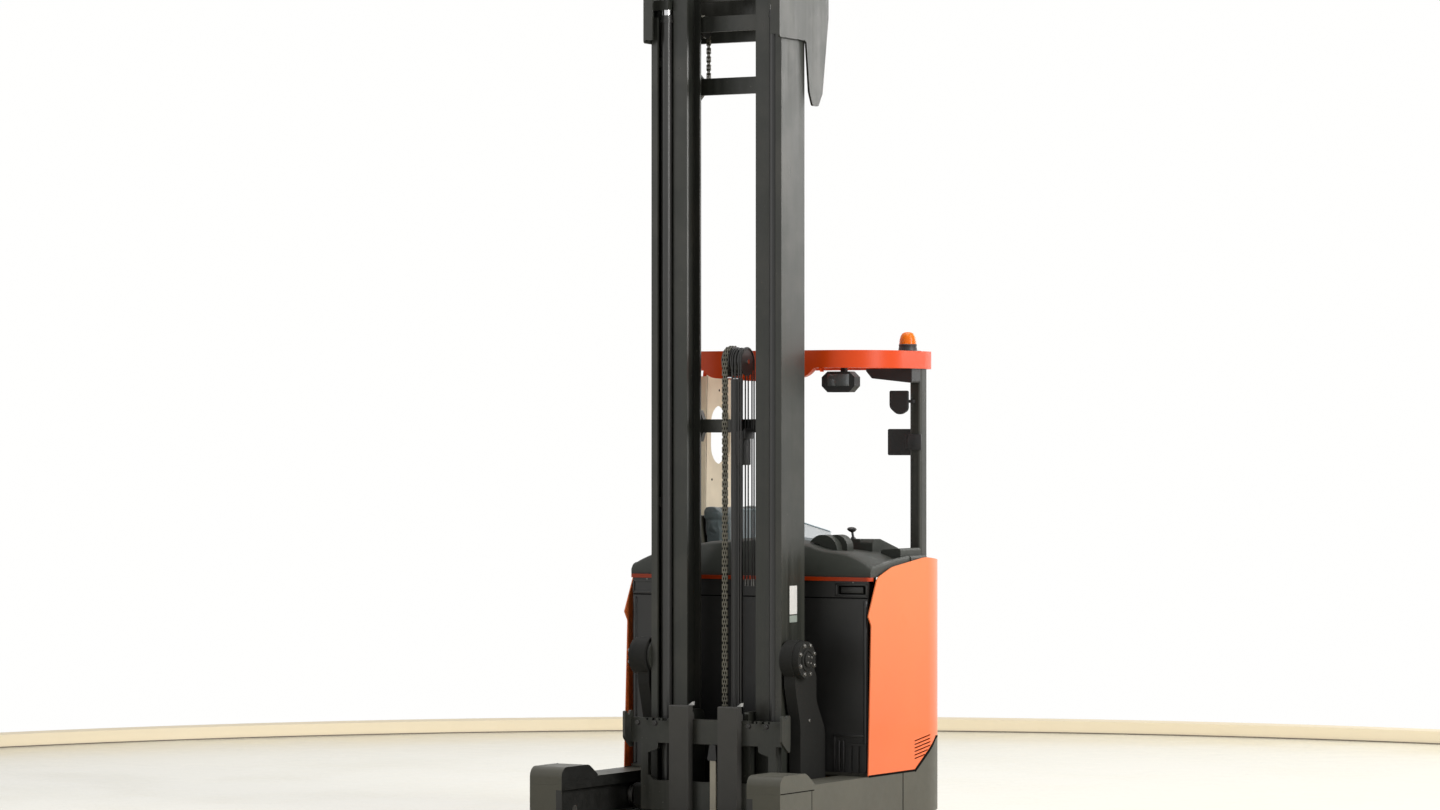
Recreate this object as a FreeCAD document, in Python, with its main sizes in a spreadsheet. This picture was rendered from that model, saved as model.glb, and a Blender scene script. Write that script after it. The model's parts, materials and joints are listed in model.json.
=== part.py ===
"""Reach truck: three-wheeled warehouse truck with a triplex mast on a reaching carriage.

Frame: millimetres, +Z up, +X to the truck's right when seen from the forks, forks along -Y.
The origin is on the floor, in the middle of the truck's length and width.
"""
import FreeCAD, Part
import math
import os

import Sketcher

# Driving dimensions, in millimetres unless a name ends in _turn (degrees) or _count.
SIZES = {
    # Overall
    "overall_width": 1270, "mast_top": 3850, "rear_end": 1250, "nose_end": 535, "fork_tip": 1250,
    "corner_radius": "=overall_width / 2 - 240", "panel_wall": 5, "running_gap": 0.3,
    # Support arms and load wheels
    "arm_inner": "=overall_width / 2 - 166", "arm_top": 285, "arm_low": 90, "arm_joint": 609,
    "arm_plate": 16, "channel_web": "=overall_width / 2 - 138", "web_wall": 7, "channel_low": 118,
    "channel_high": 237, "beam_front": 215, "head_end": 227, "head_seam": 262, "cover_top": 339,
    "cover_round": 45, "cover_slope": 75, "nose_wall": 5, "load_axle_y": 378,
    "load_wheel_radius": 142.5, "load_wheel_width": 92, "load_tyre_depth": 30,
    "load_axle_radius": 20, "load_wheel_inner": "=overall_width / 2 - 128",
    # Chassis, skirt and floor
    "skirt_wall": 14, "skirt_front_top": 288, "skirt_rear_top": 425, "skirt_rise": 731,
    "skirt_flat": 960, "tray_low": 287, "tray_wall": 12, "bay_front": 330, "bay_rear": 692,
    "bulkhead_wall": 10, "floor_top": 460, "floor_wall": 14, "pan_edge": 60, "pan_front": 706,
    # Battery, cover and lip
    "battery_half": "=overall_width / 2 - 37", "battery_top": 1150, "cover_front": 315,
    "cover_half": "=overall_width / 2 - 25", "cover_wall": 12, "band_low": 1082,
    "cover_height": 1155, "lip_height": 17, "lip_front": 307, "lip_depth": 40, "handle_low": 1095,
    "handle_high": 1135, "handle_inner": "=cover_half - 150", "handle_outer": "=cover_half - 10",
    "lock_bar_width": 16, "lock_bar_top": 420,
    # Side panels
    "panel_front_low": 275, "panel_front_knee": 304, "panel_knee_z": 958, "panel_jog_z": 999,
    "panel_brow_y": 361, "panel_brow_z": 1170, "panel_crest_y": 830, "panel_crest_z": 1253,
    "panel_rear_z": 1238, "panel_wrap": 1082, "vent_count": 6, "vent_pitch": 16,
    "vent_first_y": 722, "vent_last_y": 881, "vent_short": 27, "vent_slope": 0.13, "vent_low": 337,
    "vent_width": 6,
    # Cowl, hoods, shield and console
    "cowl_half": "=overall_width / 2 - 13", "cowl_crown": 1350, "cowl_shoulder": 1318,
    "cowl_side_z": 1205, "cowl_rear": 704, "cowl_shoulder_x": 300, "hood_x": 318, "hood_radius": 75,
    "hood_rear_x": 358, "hood_rear_radius": 60, "hood_y": 430, "hood_step": 50, "hood_length": 60,
    "hood_top": 1358, "boot_front": 625, "boot_rear": 690, "boot_inner": 326, "boot_top": 1336,
    "unit_inner": 405, "unit_outer": 470, "unit_knee": 700, "unit_rear": 880, "unit_end": 1290,
    "unit_low": 1225, "rail_width": 18, "rail_y": 533, "rail_mid": 1245, "rail_top": 1262,
    "shield_x": 40,
    "shield_half": 250, "shield_top": 1470, "shield_y": 560,
    "console_inner": "=overall_width / 2 - 149", "console_low": 1060, "console_top": 1264,
    "rest_low": 1252, "rest_top": 1296, "rest_inner": "=console_inner + 14",
    "rest_outer": "=console_inner + 114", "rest_front": 650, "rest_rear": 850, "console_rear": 862,
    "stick_x": 346, "stick_y": 655, "stick_top": 1390, "ball_radius": 17, "stop_x": 362,
    "stop_y": 590, "stop_low": 1250, "stop_collar": 1284, "stop_top": 1301, "stop_radius": 17,
    "pedal_x": "=overall_width / 2 - 210",
    # Seat, pedestal, rear housing and steering wheel
    "pedestal_left": "=overall_width / 2 - 39", "pedestal_right": 64, "pedestal_top": 945,
    "pedestal_rear": 1012, "seat_front_x": 0, "seat_back_x": 470, "seat_low_y": 728,
    "seat_high_y": 1150, "seat_base": 965, "cushion_depth": 100, "back_top": 1495,
    "housing_front": 1024, "housing_right": 232, "housing_top": 950, "wheel_x": 150,
    "wheel_y": 1110, "steer_ring": 105, "steer_rim": 13, "steer_top": 1052, "column_radius": 22,
    # Overhead guard, post and pillar
    "guard_half": "=overall_width / 2 - 35", "guard_front": 395, "guard_rear": 1165,
    "guard_top": 2192, "guard_band": 80, "guard_corner": 275, "guard_rail": 62, "guard_dip": 141,
    "guard_bar_width": 26, "guard_bar_count": 7, "guard_bar_height": 28, "fascia_depth": 34,
    "post_x": "=overall_width / 2 - 75", "post_y": 905, "post_width": 60, "post_depth": 66,
    "pillar_x": "=overall_width / 2 - 69", "pillar_wall": 26, "pillar_low": 1262,
    "pillar_front": 865, "pillar_rear": 1125, "pillar_foot": 1140, "pillar_leg_front": 872,
    "pillar_leg_rear": 1000, "window_low": 1670, "window_high": 1950, "window_front": 905,
    "window_rear": 1090, "beacon_x": "=guard_half - 100", "beacon_y": 915, "beacon_radius": 37,
    "beacon_base": 34, "beacon_height": 90, "beacon_plate": 46, "box_inner": "=guard_half - 248",
    "box_low": 2046, "mirror_outer": "=post_x - 20", "mirror_width": 92, "mirror_low": 1895,
    "mirror_high": 2012, "terminal_width": 124, "terminal_low": 1716, "terminal_high": 1837,
    # Drive unit
    "drive_x": 180, "drive_y": 1045, "drive_wheel_radius": 171.5, "drive_wheel_width": 140,
    "drive_tyre_depth": 38, "drive_axle_radius": 28, "turntable_low": 352, "turntable_radius": 150,
    "gearbox_gap": 5, "gearbox_depth": 46, "motor_radius": 92, "motor_top": 780,
    "drive_plate_low": 386, "drive_plate_wall": 16,
    # Reach carriage
    "pivot_y": 65, "pivot_z": 811, "pivot_radius": 30, "hub_radius": 88,
    "hub_outer": "=arm_inner - 32", "reach_inner": "=arm_inner - 120",
    "reach_outer": "=arm_inner - 64", "reach_front": 65, "reach_rear": 295, "reach_low": 105,
    "reach_beam_front": 264, "reach_beam_rear": 300, "reach_beam_top": 340,
    "roller_block": "=arm_inner - 8", "roller_width": 32, "roller_front_y": 128,
    "roller_rear_y": 236, "reach_bore": 22, "reach_rod": 20, "reach_barrel": 34,
    "reach_cylinder_z": 205, "reach_barrel_front": 310, "reach_barrel_end": 915,
    "reach_rod_end": 890,
    # Outer mast
    "outer_web_out": 335, "outer_web_in": 323, "outer_front": 17, "outer_rear": 230,
    "outer_lip": 304, "outer_flange": 262, "outer_flange_y": 93, "rail_wall": 12, "outer_low": 90,
    "outer_top": "=lift_rod_top - 34", "mast_foot_wall": 28, "mast_foot_front": 30,
    "outer_bar_front": 262, "outer_bar_rear": 284, "head_bar_low": "=lift_rod_top - 373",
    "head_bar_high": "=lift_rod_top - 297", "middle_bar_low": 1827, "middle_bar_high": 1872,
    "ear_spread": 45, "ear_taper": 50, "ear_out": 300, "boss_wall": 10, "pad_length": 130,
    "pin_outer": "=arm_inner - 41",
    # Intermediate mast
    "middle_web_in": 250, "middle_web_out": 260, "middle_front": 111, "middle_rear": 212,
    "middle_flange_out": 316, "middle_front_in": 224, "middle_rear_in": 190, "middle_low": 98,
    "middle_top": "=lift_rod_top - 22", "middle_bar_front": 236, "middle_bar_rear": 256,
    "middle_bar_half": 250, "foot_bar_low": 360, "foot_bar_high": 440,
    "crown_bar_low": "=middle_top - 70", "head_plate_in": 341, "head_plate_out": 351,
    "head_low": "=lift_rod_top - 152", "head_high": "=lift_rod_top + 112", "head_front": 28,
    "head_rear": 427, "leg_front": 249, "leg_rear": 371, "leg_low": "=lift_rod_top - 439",
    # Inner mast
    "inner_web_in": 207, "inner_web_out": 217, "inner_front": 65, "inner_rear": 192,
    "inner_flange_in": 177, "inner_front_out": 248, "inner_rear_out": 243, "inner_low": 102,
    "inner_bar_front": 185, "inner_bar_rear": 203, "inner_bar_half": 186, "inner_foot_low": 112,
    "inner_foot_high": 196, "clamp_low": 1820, "clamp_high": 1880, "head_bar_drop": 84,
    # Cylinders, ram, chains and hoses
    "lift_x": 279, "lift_y": 57, "lift_barrel": 25, "lift_bore": 19, "lift_rod": 18,
    "lift_barrel_top": "=lift_rod_top - 56", "lift_rod_top": "=mast_top - 126", "free_x": 30,
    "free_y": 155, "free_barrel": 27.5, "free_bore": 22, "free_rod": 21, "free_foot": 200,
    "free_barrel_top": 2060, "free_top": 2150, "yoke_low": 2064, "pulley_z": 2138, "chain_x": 19,
    "chain_y": 131.5, "chain_width": 28, "chain_depth": 14, "chain_turn": 63.5,
    "chain_front_low": 452, "chain_rear_low": 2070, "cheek_gap": 6, "cheek_wall": 6, "yoke_wall": 5,
    "chain_pin": 11, "hose_pin": 10, "hose_y": 114, "hose_turn": 60, "hose_radius": 4.5,
    "hose_x": 64, "hose_pitch": 11, "hose_count": 4, "hose_front_low": 500, "hose_rear_low": 1150,
    "side_chain_x": 208, "side_chain_width": 20, "side_chain_y": 222, "side_chain_turn": 45,
    "side_chain_low": 230, "side_chain_rear": "=lift_rod_top - 284",
    "side_pulley_z": "=lift_rod_top - 64",
    # Lift carriage, side shift and forks
    "frame_front": -27, "shift_front": -57, "shift_rear": -32, "end_plate_front": -110,
    "end_plate_rear": -35, "fork_face": -100,
    "frame_rear": 10, "frame_half": 296, "carriage_low": 100, "carriage_plate_in": 150,
    "carriage_plate_out": 170, "carriage_plate_rear": 178, "carriage_plate_top": 575,
    "carriage_roller_low": 175, "carriage_roller_high": 500, "carriage_roller_out": 204,
    "bar_low": 429, "bar_high": 539, "lower_bar_low": 128, "lower_bar_high": 260, "upright_in": 309,
    "upright_out": 347, "flange_in": 258, "end_plate_in": 398, "end_plate_out": 410,
    "end_plate_low": 406, "end_plate_high": 570, "fork_x": 125, "fork_width": 100, "fork_wall": 40,
    "fork_low": 50, "shank_top": 602, "fork_tip_wall": 12, "fork_taper": 500, "heel_radius": 48,
    "strip_x": 31, "strip_width": 30, "strip_wall": 8, "strip_low": 95, "strip_high": 358,
}

AXIS_PLANES = {"X": "YZ_Plane", "Y": "XZ_Plane", "Z": "XY_Plane"}

doc = FreeCAD.newDocument("reach_truck")


class Size:
    """A length that carries its number and the sheet expression behind it."""

    def __init__(self, number, text):
        self.number = number
        self.text = text

    @staticmethod
    def of(item):
        if isinstance(item, Size):
            return item
        return Size(float(item), "({:.6f})".format(item))

    def __add__(self, other):
        other = Size.of(other)
        return Size(self.number + other.number, "({} + {})".format(self.text, other.text))

    def __sub__(self, other):
        other = Size.of(other)
        return Size(self.number - other.number, "({} - {})".format(self.text, other.text))

    def __mul__(self, other):
        other = Size.of(other)
        return Size(self.number * other.number, "({} * {})".format(self.text, other.text))

    def __truediv__(self, other):
        other = Size.of(other)
        return Size(self.number / other.number, "({} / {})".format(self.text, other.text))

    def __radd__(self, other):
        return Size.of(other) + self

    def __rsub__(self, other):
        return Size.of(other) - self

    def __rmul__(self, other):
        return Size.of(other) * self

    def __neg__(self):
        return Size.of(0) - self

    def __float__(self):
        return self.number


class Sizes:
    """The spreadsheet of driving dimensions, read by name."""

    def __init__(self, values):
        self.sheet = doc.addObject("Spreadsheet::Sheet", "sizes")
        for row, alias in enumerate(values, start=1):
            self.sheet.set("A{}".format(row), alias)
            self.sheet.setAlias("B{}".format(row), alias)
        for row, number in enumerate(values.values(), start=1):
            self.sheet.set("B{}".format(row), str(number))
        doc.recompute()

    def __getattr__(self, alias):
        return Size(float(getattr(self.sheet, alias)), "sizes." + alias)


s = Sizes(SIZES)
side = s.overall_width / 2
parts = {}


def bind(item, name, size):
    """Ties one property of an object to the sheet."""
    item.setExpression(name, Size.of(size).text)


def place(item, x=0, y=0, z=0):
    """Ties an object's position to the sheet."""
    bind(item, "Placement.Base.x", x)
    bind(item, "Placement.Base.y", y)
    bind(item, "Placement.Base.z", z)


def keep(label, item):
    """Names an object as one of the truck's sub-parts."""
    item.Label = label
    parts[label] = item
    return item


def new_body(name):
    """Starts a PartDesign body."""
    body = doc.addObject("PartDesign::Body", name)
    body.AllowCompound = True
    return body


def sketch_on(body, axis, offset, shift=(0, 0)):
    """A sketch on the body's own plane across an axis, moved along that axis by offset."""
    sketch = body.newObject("Sketcher::SketchObject", body.Name + "_sketch")
    plane = [item for item in body.Origin.OriginFeatures if item.Role == AXIS_PLANES[axis]][0]
    sketch.AttachmentSupport = [(plane, "")]
    sketch.MapMode = "FlatFace"
    along = -Size.of(offset) if axis == "Y" else Size.of(offset)
    bind(sketch, "AttachmentOffset.Base.x", shift[0])
    bind(sketch, "AttachmentOffset.Base.y", shift[1])
    bind(sketch, "AttachmentOffset.Base.z", along)
    return sketch


def unit(start, end):
    """The unit vector from one point of a sketch to another."""
    return (end - start).normalize()


def draw_outline(sketch, corners):
    """Draws a closed outline; a corner is (x, y) when sharp and (x, y, radius) when rounded."""
    points = [FreeCAD.Vector(float(c[0]), float(c[1]), 0) for c in corners]
    radii = [float(c[2]) if len(c) > 2 else 0.0 for c in corners]
    count = len(corners)
    starts, ends, bends = [None] * count, [None] * count, {}
    for index, point in enumerate(points):
        to_last = unit(point, points[index - 1])
        to_next = unit(point, points[(index + 1) % count])
        reach = 0.0
        if radii[index]:
            half = to_last.getAngle(to_next) / 2
            reach = radii[index] / math.tan(half)
            centre = point + (to_last + to_next).normalize() * (radii[index] / math.sin(half))
            left_turn = (point - points[index - 1]).cross(points[(index + 1) % count] - point).z > 0
            bends[index] = (centre, left_turn)
        ends[index - 1] = point + to_last * reach
        starts[index] = point + to_next * reach
    lines = [sketch.addGeometry(Part.LineSegment(starts[i], ends[i])) for i in range(count)]
    exact, named = [], []
    for index, corner in enumerate(corners):
        last, line = lines[index - 1], lines[index]
        if index not in bends:
            exact.append(Sketcher.Constraint("Coincident", last, 2, line, 1))
            named.append(("DistanceX", (line, 1), corner[0]))
            named.append(("DistanceY", (line, 1), corner[1]))
            continue
        centre, left_turn = bends[index]
        entry, leave = ends[index - 1] - centre, starts[index] - centre
        first, second = (entry, leave) if left_turn else (leave, entry)
        low = math.atan2(first.y, first.x)
        high = math.atan2(second.y, second.x)
        high += 2 * math.pi if high < low else 0
        circle = Part.Circle(centre, FreeCAD.Vector(0, 0, 1), radii[index])
        arc = sketch.addGeometry(Part.ArcOfCircle(circle, low, high))
        mark = sketch.addGeometry(Part.Point(points[index]), True)
        exact.append(Sketcher.Constraint("Tangent", last, 2, arc, 1 if left_turn else 2))
        exact.append(Sketcher.Constraint("Tangent", line, 1, arc, 2 if left_turn else 1))
        exact.append(Sketcher.Constraint("PointOnObject", mark, 1, last))
        exact.append(Sketcher.Constraint("PointOnObject", mark, 1, line))
        named.append(("DistanceX", (mark, 1), corner[0]))
        named.append(("DistanceY", (mark, 1), corner[1]))
        named.append(("Radius", (arc,), corner[2]))
    sketch.addConstraint(exact)
    dimension(sketch, named)


def dimension(sketch, named):
    """Adds the driving constraints of a sketch and ties each to the sheet."""
    for kind, where, size in named:
        number = sketch.addConstraint(Sketcher.Constraint(kind, *where, float(Size.of(size))))
        bind(sketch, "Constraints[{}]".format(number), size)


def draw_circle(sketch, centre, radius):
    """Draws a circle, tied to the sheet."""
    middle = FreeCAD.Vector(float(Size.of(centre[0])), float(Size.of(centre[1])), 0)
    ring = Part.Circle(middle, FreeCAD.Vector(0, 0, 1), float(Size.of(radius)))
    index = sketch.addGeometry(ring)
    named = [("DistanceX", (index, 3), centre[0]), ("DistanceY", (index, 3), centre[1])]
    dimension(sketch, named + [("Radius", (index,), radius)])


def extrude(body, axis, span, draw, cut=False):
    """Pads a sketch from one coordinate to another along an axis, or cuts it away."""
    low, high = Size.of(span[0]), Size.of(span[1])
    sketch = sketch_on(body, axis, high if axis == "Y" else low)
    draw(sketch)
    kind = "PartDesign::Pocket" if cut else "PartDesign::Pad"
    feature = body.newObject(kind, body.Name + ("_cut" if cut else "_pad"))
    feature.Profile = sketch
    feature.Reversed = cut
    bind(feature, "Length", high - low)
    body.Tip = feature
    return feature


def prism(body, axis, span, corners, cut=False):
    """An outline carried from one coordinate to another along an axis."""
    return extrude(body, axis, span, lambda sketch: draw_outline(sketch, corners), cut)


def disc(body, axis, span, centre, radius, cut=False):
    """A round boss, or a bore, between two coordinates along an axis."""
    return extrude(body, axis, span, lambda sketch: draw_circle(sketch, centre, radius), cut)


def block(body, x, y, z, cut=False):
    """A rectangular block between pairs of coordinates."""
    return prism(body, "Z", z, [(x[0], y[0]), (x[1], y[0]), (x[1], y[1]), (x[0], y[1])], cut)


def revolve(body, axis, centre, corners):
    """Turns an outline about a line along X or Z; a corner is (along the line, away from it)."""
    plane = "Y" if axis == "X" else "X"
    shift = (centre[0], centre[2]) if axis == "X" else (centre[1], centre[2])
    offset = centre[1] if axis == "X" else centre[0]
    sketch = sketch_on(body, plane, offset, shift)
    if axis == "Z":
        corners = [(c[1], c[0]) + tuple(c[2:]) for c in corners]
    draw_outline(sketch, corners)
    feature = body.newObject("PartDesign::Revolution", body.Name + "_turned")
    feature.Profile = sketch
    feature.ReferenceAxis = (sketch, ["H_Axis" if axis == "X" else "V_Axis"])
    feature.Angle = 360
    body.Tip = feature
    return feature


def mirrored(name, source):
    """The same piece on the truck's other side."""
    twin = doc.addObject("Part::Mirroring", name)
    twin.Source = source
    twin.Base = FreeCAD.Vector(0, 0, 0)
    twin.Normal = FreeCAD.Vector(1, 0, 0)
    return twin


def joined(name, pieces):
    """Several touching objects as one solid."""
    whole = doc.addObject("Part::MultiFuse", name)
    whole.Shapes = pieces
    whole.Refine = True
    return whole


def together(name, pieces):
    """Several separate solids as one sub-part."""
    whole = doc.addObject("Part::Compound", name)
    whole.Links = pieces
    return whole


def pair(label, half, fuse=False):
    """A right-hand piece and its mirror image as one sub-part."""
    twin = mirrored(label + "_twin", half)
    return keep(label, joined(label, [half, twin]) if fuse else together(label, [half, twin]))


def plan_outline(wall, front):
    """The chassis seen from above, drawn in by a wall, open end at front."""
    edge, rear, radius = side - wall, s.rear_end - wall, s.corner_radius - wall
    return [(edge, front), (edge, rear, radius), (-edge, rear, radius), (-edge, front)]


def support_arm():
    """One box-section support arm with an inner roller channel and an open wheel head."""
    body = new_body("support_arm_right")
    nose, head, joint = -s.nose_end, -s.head_end, s.arm_joint
    cheek = [(nose, s.arm_low, 30), (joint, s.arm_low), (joint, s.arm_top), (head, s.arm_top),
             (nose, s.head_seam)]
    prism(body, "X", (side - s.arm_plate, side), cheek)
    prism(body, "X", (s.channel_web, s.channel_web + s.web_wall),
          [(nose, s.arm_low), (joint, s.arm_low), (joint, s.arm_top), (head, s.arm_top),
           (nose, s.head_seam)])
    block(body, (s.channel_web, side), (-s.beam_front, joint), (s.arm_low, s.arm_top))
    block(body, (s.arm_inner, s.channel_web), (nose, joint), (s.arm_low, s.channel_low))
    prism(body, "X", (s.arm_inner, s.channel_web),
          [(nose, s.channel_high), (joint, s.channel_high), (joint, s.arm_top),
           (head, s.arm_top), (nose, s.head_seam)])
    block(body, (s.arm_inner, side), (nose, nose + s.nose_wall), (s.arm_low, s.head_seam))
    disc(body, "X", (s.channel_web - 1, s.channel_web + s.web_wall + 1),
         (-s.load_axle_y, s.load_wheel_radius), s.load_axle_radius + s.running_gap, cut=True)
    keep("support_arm_right", body)
    keep("support_arm_left", mirrored("support_arm_left", body))


def arm_cover():
    """The rounded cover over one load wheel, hollow from below."""
    body = new_body("arm_cover")
    nose, head, gap = -s.nose_end, -s.head_end, s.running_gap
    seam_front, seam_rear = s.head_seam + gap, s.arm_top + gap
    crest = head - s.cover_slope
    prism(body, "X", (s.arm_inner, side),
          [(nose, seam_front), (nose, s.cover_top, s.cover_round), (crest, s.cover_top, 60),
           (head, seam_rear + 6), (head, seam_rear)])
    wall = s.panel_wall
    prism(body, "X", (s.arm_inner + wall, side - wall),
          [(nose + wall, seam_front - 40),
           (nose + wall, s.cover_top - wall, s.cover_round - wall),
           (crest - wall, s.cover_top - wall, 55), (head - 35, seam_rear - 1),
           (head - 35, seam_front - 40)], cut=True)
    pair("arm_covers", body)


def load_wheels():
    """The two load wheels: a polyurethane tyre round a steel hub, on a fixed axle."""
    centre = (0, -s.load_axle_y, s.load_wheel_radius)
    inner, outer = s.load_wheel_inner, s.load_wheel_inner + s.load_wheel_width
    rim = s.load_wheel_radius - s.load_tyre_depth
    tyre = new_body("load_tyre_right")
    revolve(tyre, "X", centre, [(inner, rim), (outer, rim), (outer, s.load_wheel_radius, 8),
                                (inner, s.load_wheel_radius, 8)])
    hub = new_body("load_hub_right")
    bore, boss, web = s.load_axle_radius + s.running_gap, s.load_axle_radius + 26, 24
    revolve(hub, "X", centre,
            [(inner, bore), (outer, bore), (outer, boss), (outer - web, boss + 6),
             (outer - web, rim - 16), (outer, rim - 10), (outer, rim), (inner, rim),
             (inner, rim - 10), (inner + web, rim - 16), (inner + web, boss + 6), (inner, boss)])
    axle = new_body("load_axle_right")
    disc(axle, "X", (s.channel_web, side - s.arm_plate),
         (-s.load_axle_y, s.load_wheel_radius), s.load_axle_radius)
    for name, piece in (("load_tyre", tyre), ("load_hub", hub)):
        keep(name + "_right", piece)
        keep(name + "_left", mirrored(name + "_left", piece))
    pair("load_axles", axle)


def skirt():
    """The welded steel skirt round the drive end, rising towards the rear."""
    body = new_body("chassis_skirt")
    wall = s.skirt_wall
    prism(body, "Z", (s.arm_low, s.skirt_rear_top), plan_outline(0, s.arm_joint))
    prism(body, "Z", (s.arm_low - 1, s.skirt_rear_top + 1),
          plan_outline(wall, s.arm_joint - 1), cut=True)
    prism(body, "X", (-side - 1, side + 1),
          [(s.arm_joint - 1, s.skirt_front_top), (s.skirt_rise, s.skirt_front_top),
           (s.skirt_flat, s.skirt_rear_top), (s.skirt_flat, s.skirt_rear_top + 2),
           (s.arm_joint - 1, s.skirt_rear_top + 2)], cut=True)
    keep("chassis_skirt", body)


def chassis():
    """Battery tray, bulkheads, the drive plate and the floor pan inside the skirt."""
    body = new_body("chassis_frame")
    inside = side - s.skirt_wall
    block(body, (-inside, inside), (s.bay_front - 15, s.bay_rear + s.bulkhead_wall),
          (s.tray_low, s.tray_low + s.tray_wall))
    block(body, (-inside, inside), (s.bay_rear, s.bay_rear + s.bulkhead_wall),
          (s.arm_low + 20, s.skirt_rear_top))
    prism(body, "Z", (s.skirt_rear_top + s.running_gap, s.floor_top - s.floor_wall),
          plan_outline(s.skirt_wall, s.bay_rear))
    rim = s.turntable_radius
    block(body, (-s.drive_x - rim - 50, -s.drive_x + rim + 50), (s.bay_rear, s.rear_end - 48),
          (s.drive_plate_low, s.drive_plate_low + s.drive_plate_wall))
    for edge in (-s.drive_x - rim - 50, -s.drive_x + rim + 38):
        block(body, (edge, edge + 12), (s.bay_rear, s.rear_end - 48),
              (s.drive_plate_low, s.floor_top - s.floor_wall))
    disc(body, "Z", (s.drive_plate_low - 1, s.floor_top),
         (-s.drive_x, s.drive_y), s.motor_radius + 6, cut=True)
    disc(body, "Y", (s.bay_rear - 1, s.bay_rear + s.bulkhead_wall + 1),
         (0, s.reach_cylinder_z), s.reach_barrel + s.running_gap, cut=True)
    keep("chassis_frame", body)


def floor_and_pedals():
    """The operator's ribbed floor plate and three pedals on sloping arms."""
    plate = new_body("floor_plate")
    left, right = s.pan_edge * -1, side - s.panel_wall - 8
    prism(plate, "Z", (s.floor_top - s.floor_wall + s.running_gap, s.floor_top),
          [(left, s.pan_front), (right, s.pan_front), (right, s.rear_end - 20, s.corner_radius - 13),
           (s.housing_right + 4, s.rear_end - 20), (s.housing_right + 4, s.housing_front - 6),
           (left, s.housing_front - 6)])
    keep("floor_plate", plate)
    pedals = []
    for index, width in enumerate((90, 70, 70)):
        pedal = new_body("pedal_{}".format(index))
        near = s.pan_front + 40 + index * 105
        prism(pedal, "Y", (near, near + width),
              [(s.pedal_x, s.floor_top), (s.pedal_x + 45, s.floor_top),
               (s.pedal_x + 90, s.floor_top + 78, 6), (s.pedal_x + 75, s.floor_top + 88, 4)])
        pedals.append(pedal)
    keep("pedals", together("pedals", pedals))


def battery():
    """The traction battery, its front cover, the bright lip and the lock bars."""
    core = new_body("battery_block")
    block(core, (-s.battery_half, s.battery_half), (s.bay_front, s.bay_rear - s.running_gap),
          (s.tray_low + s.tray_wall, s.battery_top))
    keep("battery_block", core)
    cover = new_body("battery_cover")
    front, rear = s.cover_front, s.cover_front + s.cover_wall
    block(cover, (-s.cover_half, s.cover_half), (front, rear),
          (s.tray_low + s.tray_wall, s.cover_height))
    block(cover, (-s.cover_half - 1, s.cover_half + 1), (front - 1, front + 3),
          (s.band_low - 6, s.band_low), cut=True)
    prism(cover, "Y", (front - 1, rear - 3),
          [(s.handle_inner, s.handle_low, 8), (s.handle_outer, s.handle_low, 8),
           (s.handle_outer, s.handle_high, 8), (s.handle_inner, s.handle_high, 8)], cut=True)
    keep("battery_cover", cover)
    lip = new_body("cowl_lip")
    lip_top = s.cover_height + s.lip_height
    prism(lip, "Z", (s.cover_height, lip_top),
          [(-s.cowl_half, s.lip_front, 16), (s.cowl_half, s.lip_front, 16),
           (s.cowl_half, s.lip_front + s.lip_depth), (-s.cowl_half, s.lip_front + s.lip_depth)])
    keep("cowl_lip", lip)
    bars = new_body("battery_lock")
    for inset in (94, 58, 24):
        inner = s.cover_half - inset
        block(bars, (inner, inner + s.lock_bar_width), (front - 8, front),
              (s.tray_low + s.tray_wall, s.lock_bar_top))
    block(bars, (s.cover_half - 100, s.cover_half - 2), (front - 8, front),
          (s.lock_bar_top, s.lock_bar_top + 10))
    keep("battery_lock", bars)


def side_panels():
    """The two painted side panels, bent round the rear corners, with slanted vents."""
    for label, sign in (("side_panel_right", 1), ("side_panel_left", -1)):
        body = new_body(label)
        edge, wrap, wall = side * sign, s.panel_wrap, s.panel_wall
        radius, rear = s.corner_radius, s.rear_end
        outer = radius
        prism(body, "Z", (s.skirt_front_top - 4, s.panel_crest_z + 8),
              [(edge, s.panel_front_low), (edge, rear, outer), (0, rear), (0, rear - wall),
               (edge - sign * wall, rear - wall, outer - wall), (edge - sign * wall, s.panel_front_low)])
        low, high, far = s.skirt_front_top + s.running_gap, s.panel_crest_z + 10, rear + 10
        near = s.panel_front_low - 10
        foot = s.skirt_rear_top + s.running_gap
        prism(body, "X", (-side - 2, side + 2),
              [(near, low - 20), (far, low - 20), (far, foot), (s.skirt_flat, foot),
               (s.skirt_rise, low), (near, low)], cut=True)
        prism(body, "X", (-side - 2, side + 2),
              [(near, low - 5), (s.panel_front_low, low - 5), (s.panel_front_knee, s.panel_knee_z, 20),
               (s.panel_front_low, s.panel_jog_z, 6), (s.panel_brow_y, s.panel_brow_z, 60),
               (s.panel_brow_y + 140, s.panel_crest_z - 38, 300), (s.panel_crest_y, s.panel_crest_z, 300),
               (far, s.panel_rear_z - 20), (far, high + 20), (near, high + 20)], cut=True)
        block(body, (-side - 2, side + 2), (wrap, far), (low - 20, high + 20), cut=True)
        for index in range(int(float(s.vent_count))):
            first, base = s.vent_first_y, s.vent_low + s.vent_pitch * index
            last = s.vent_last_y - s.vent_short * max(0, 2 - index)
            high = base + (last - first) * s.vent_slope
            prism(body, "X", (edge - 30, edge + 30),
                  [(first, base), (last, high), (last, high + s.vent_width), (first, base + s.vent_width)],
                  cut=True)
        keep(label, body)


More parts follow.
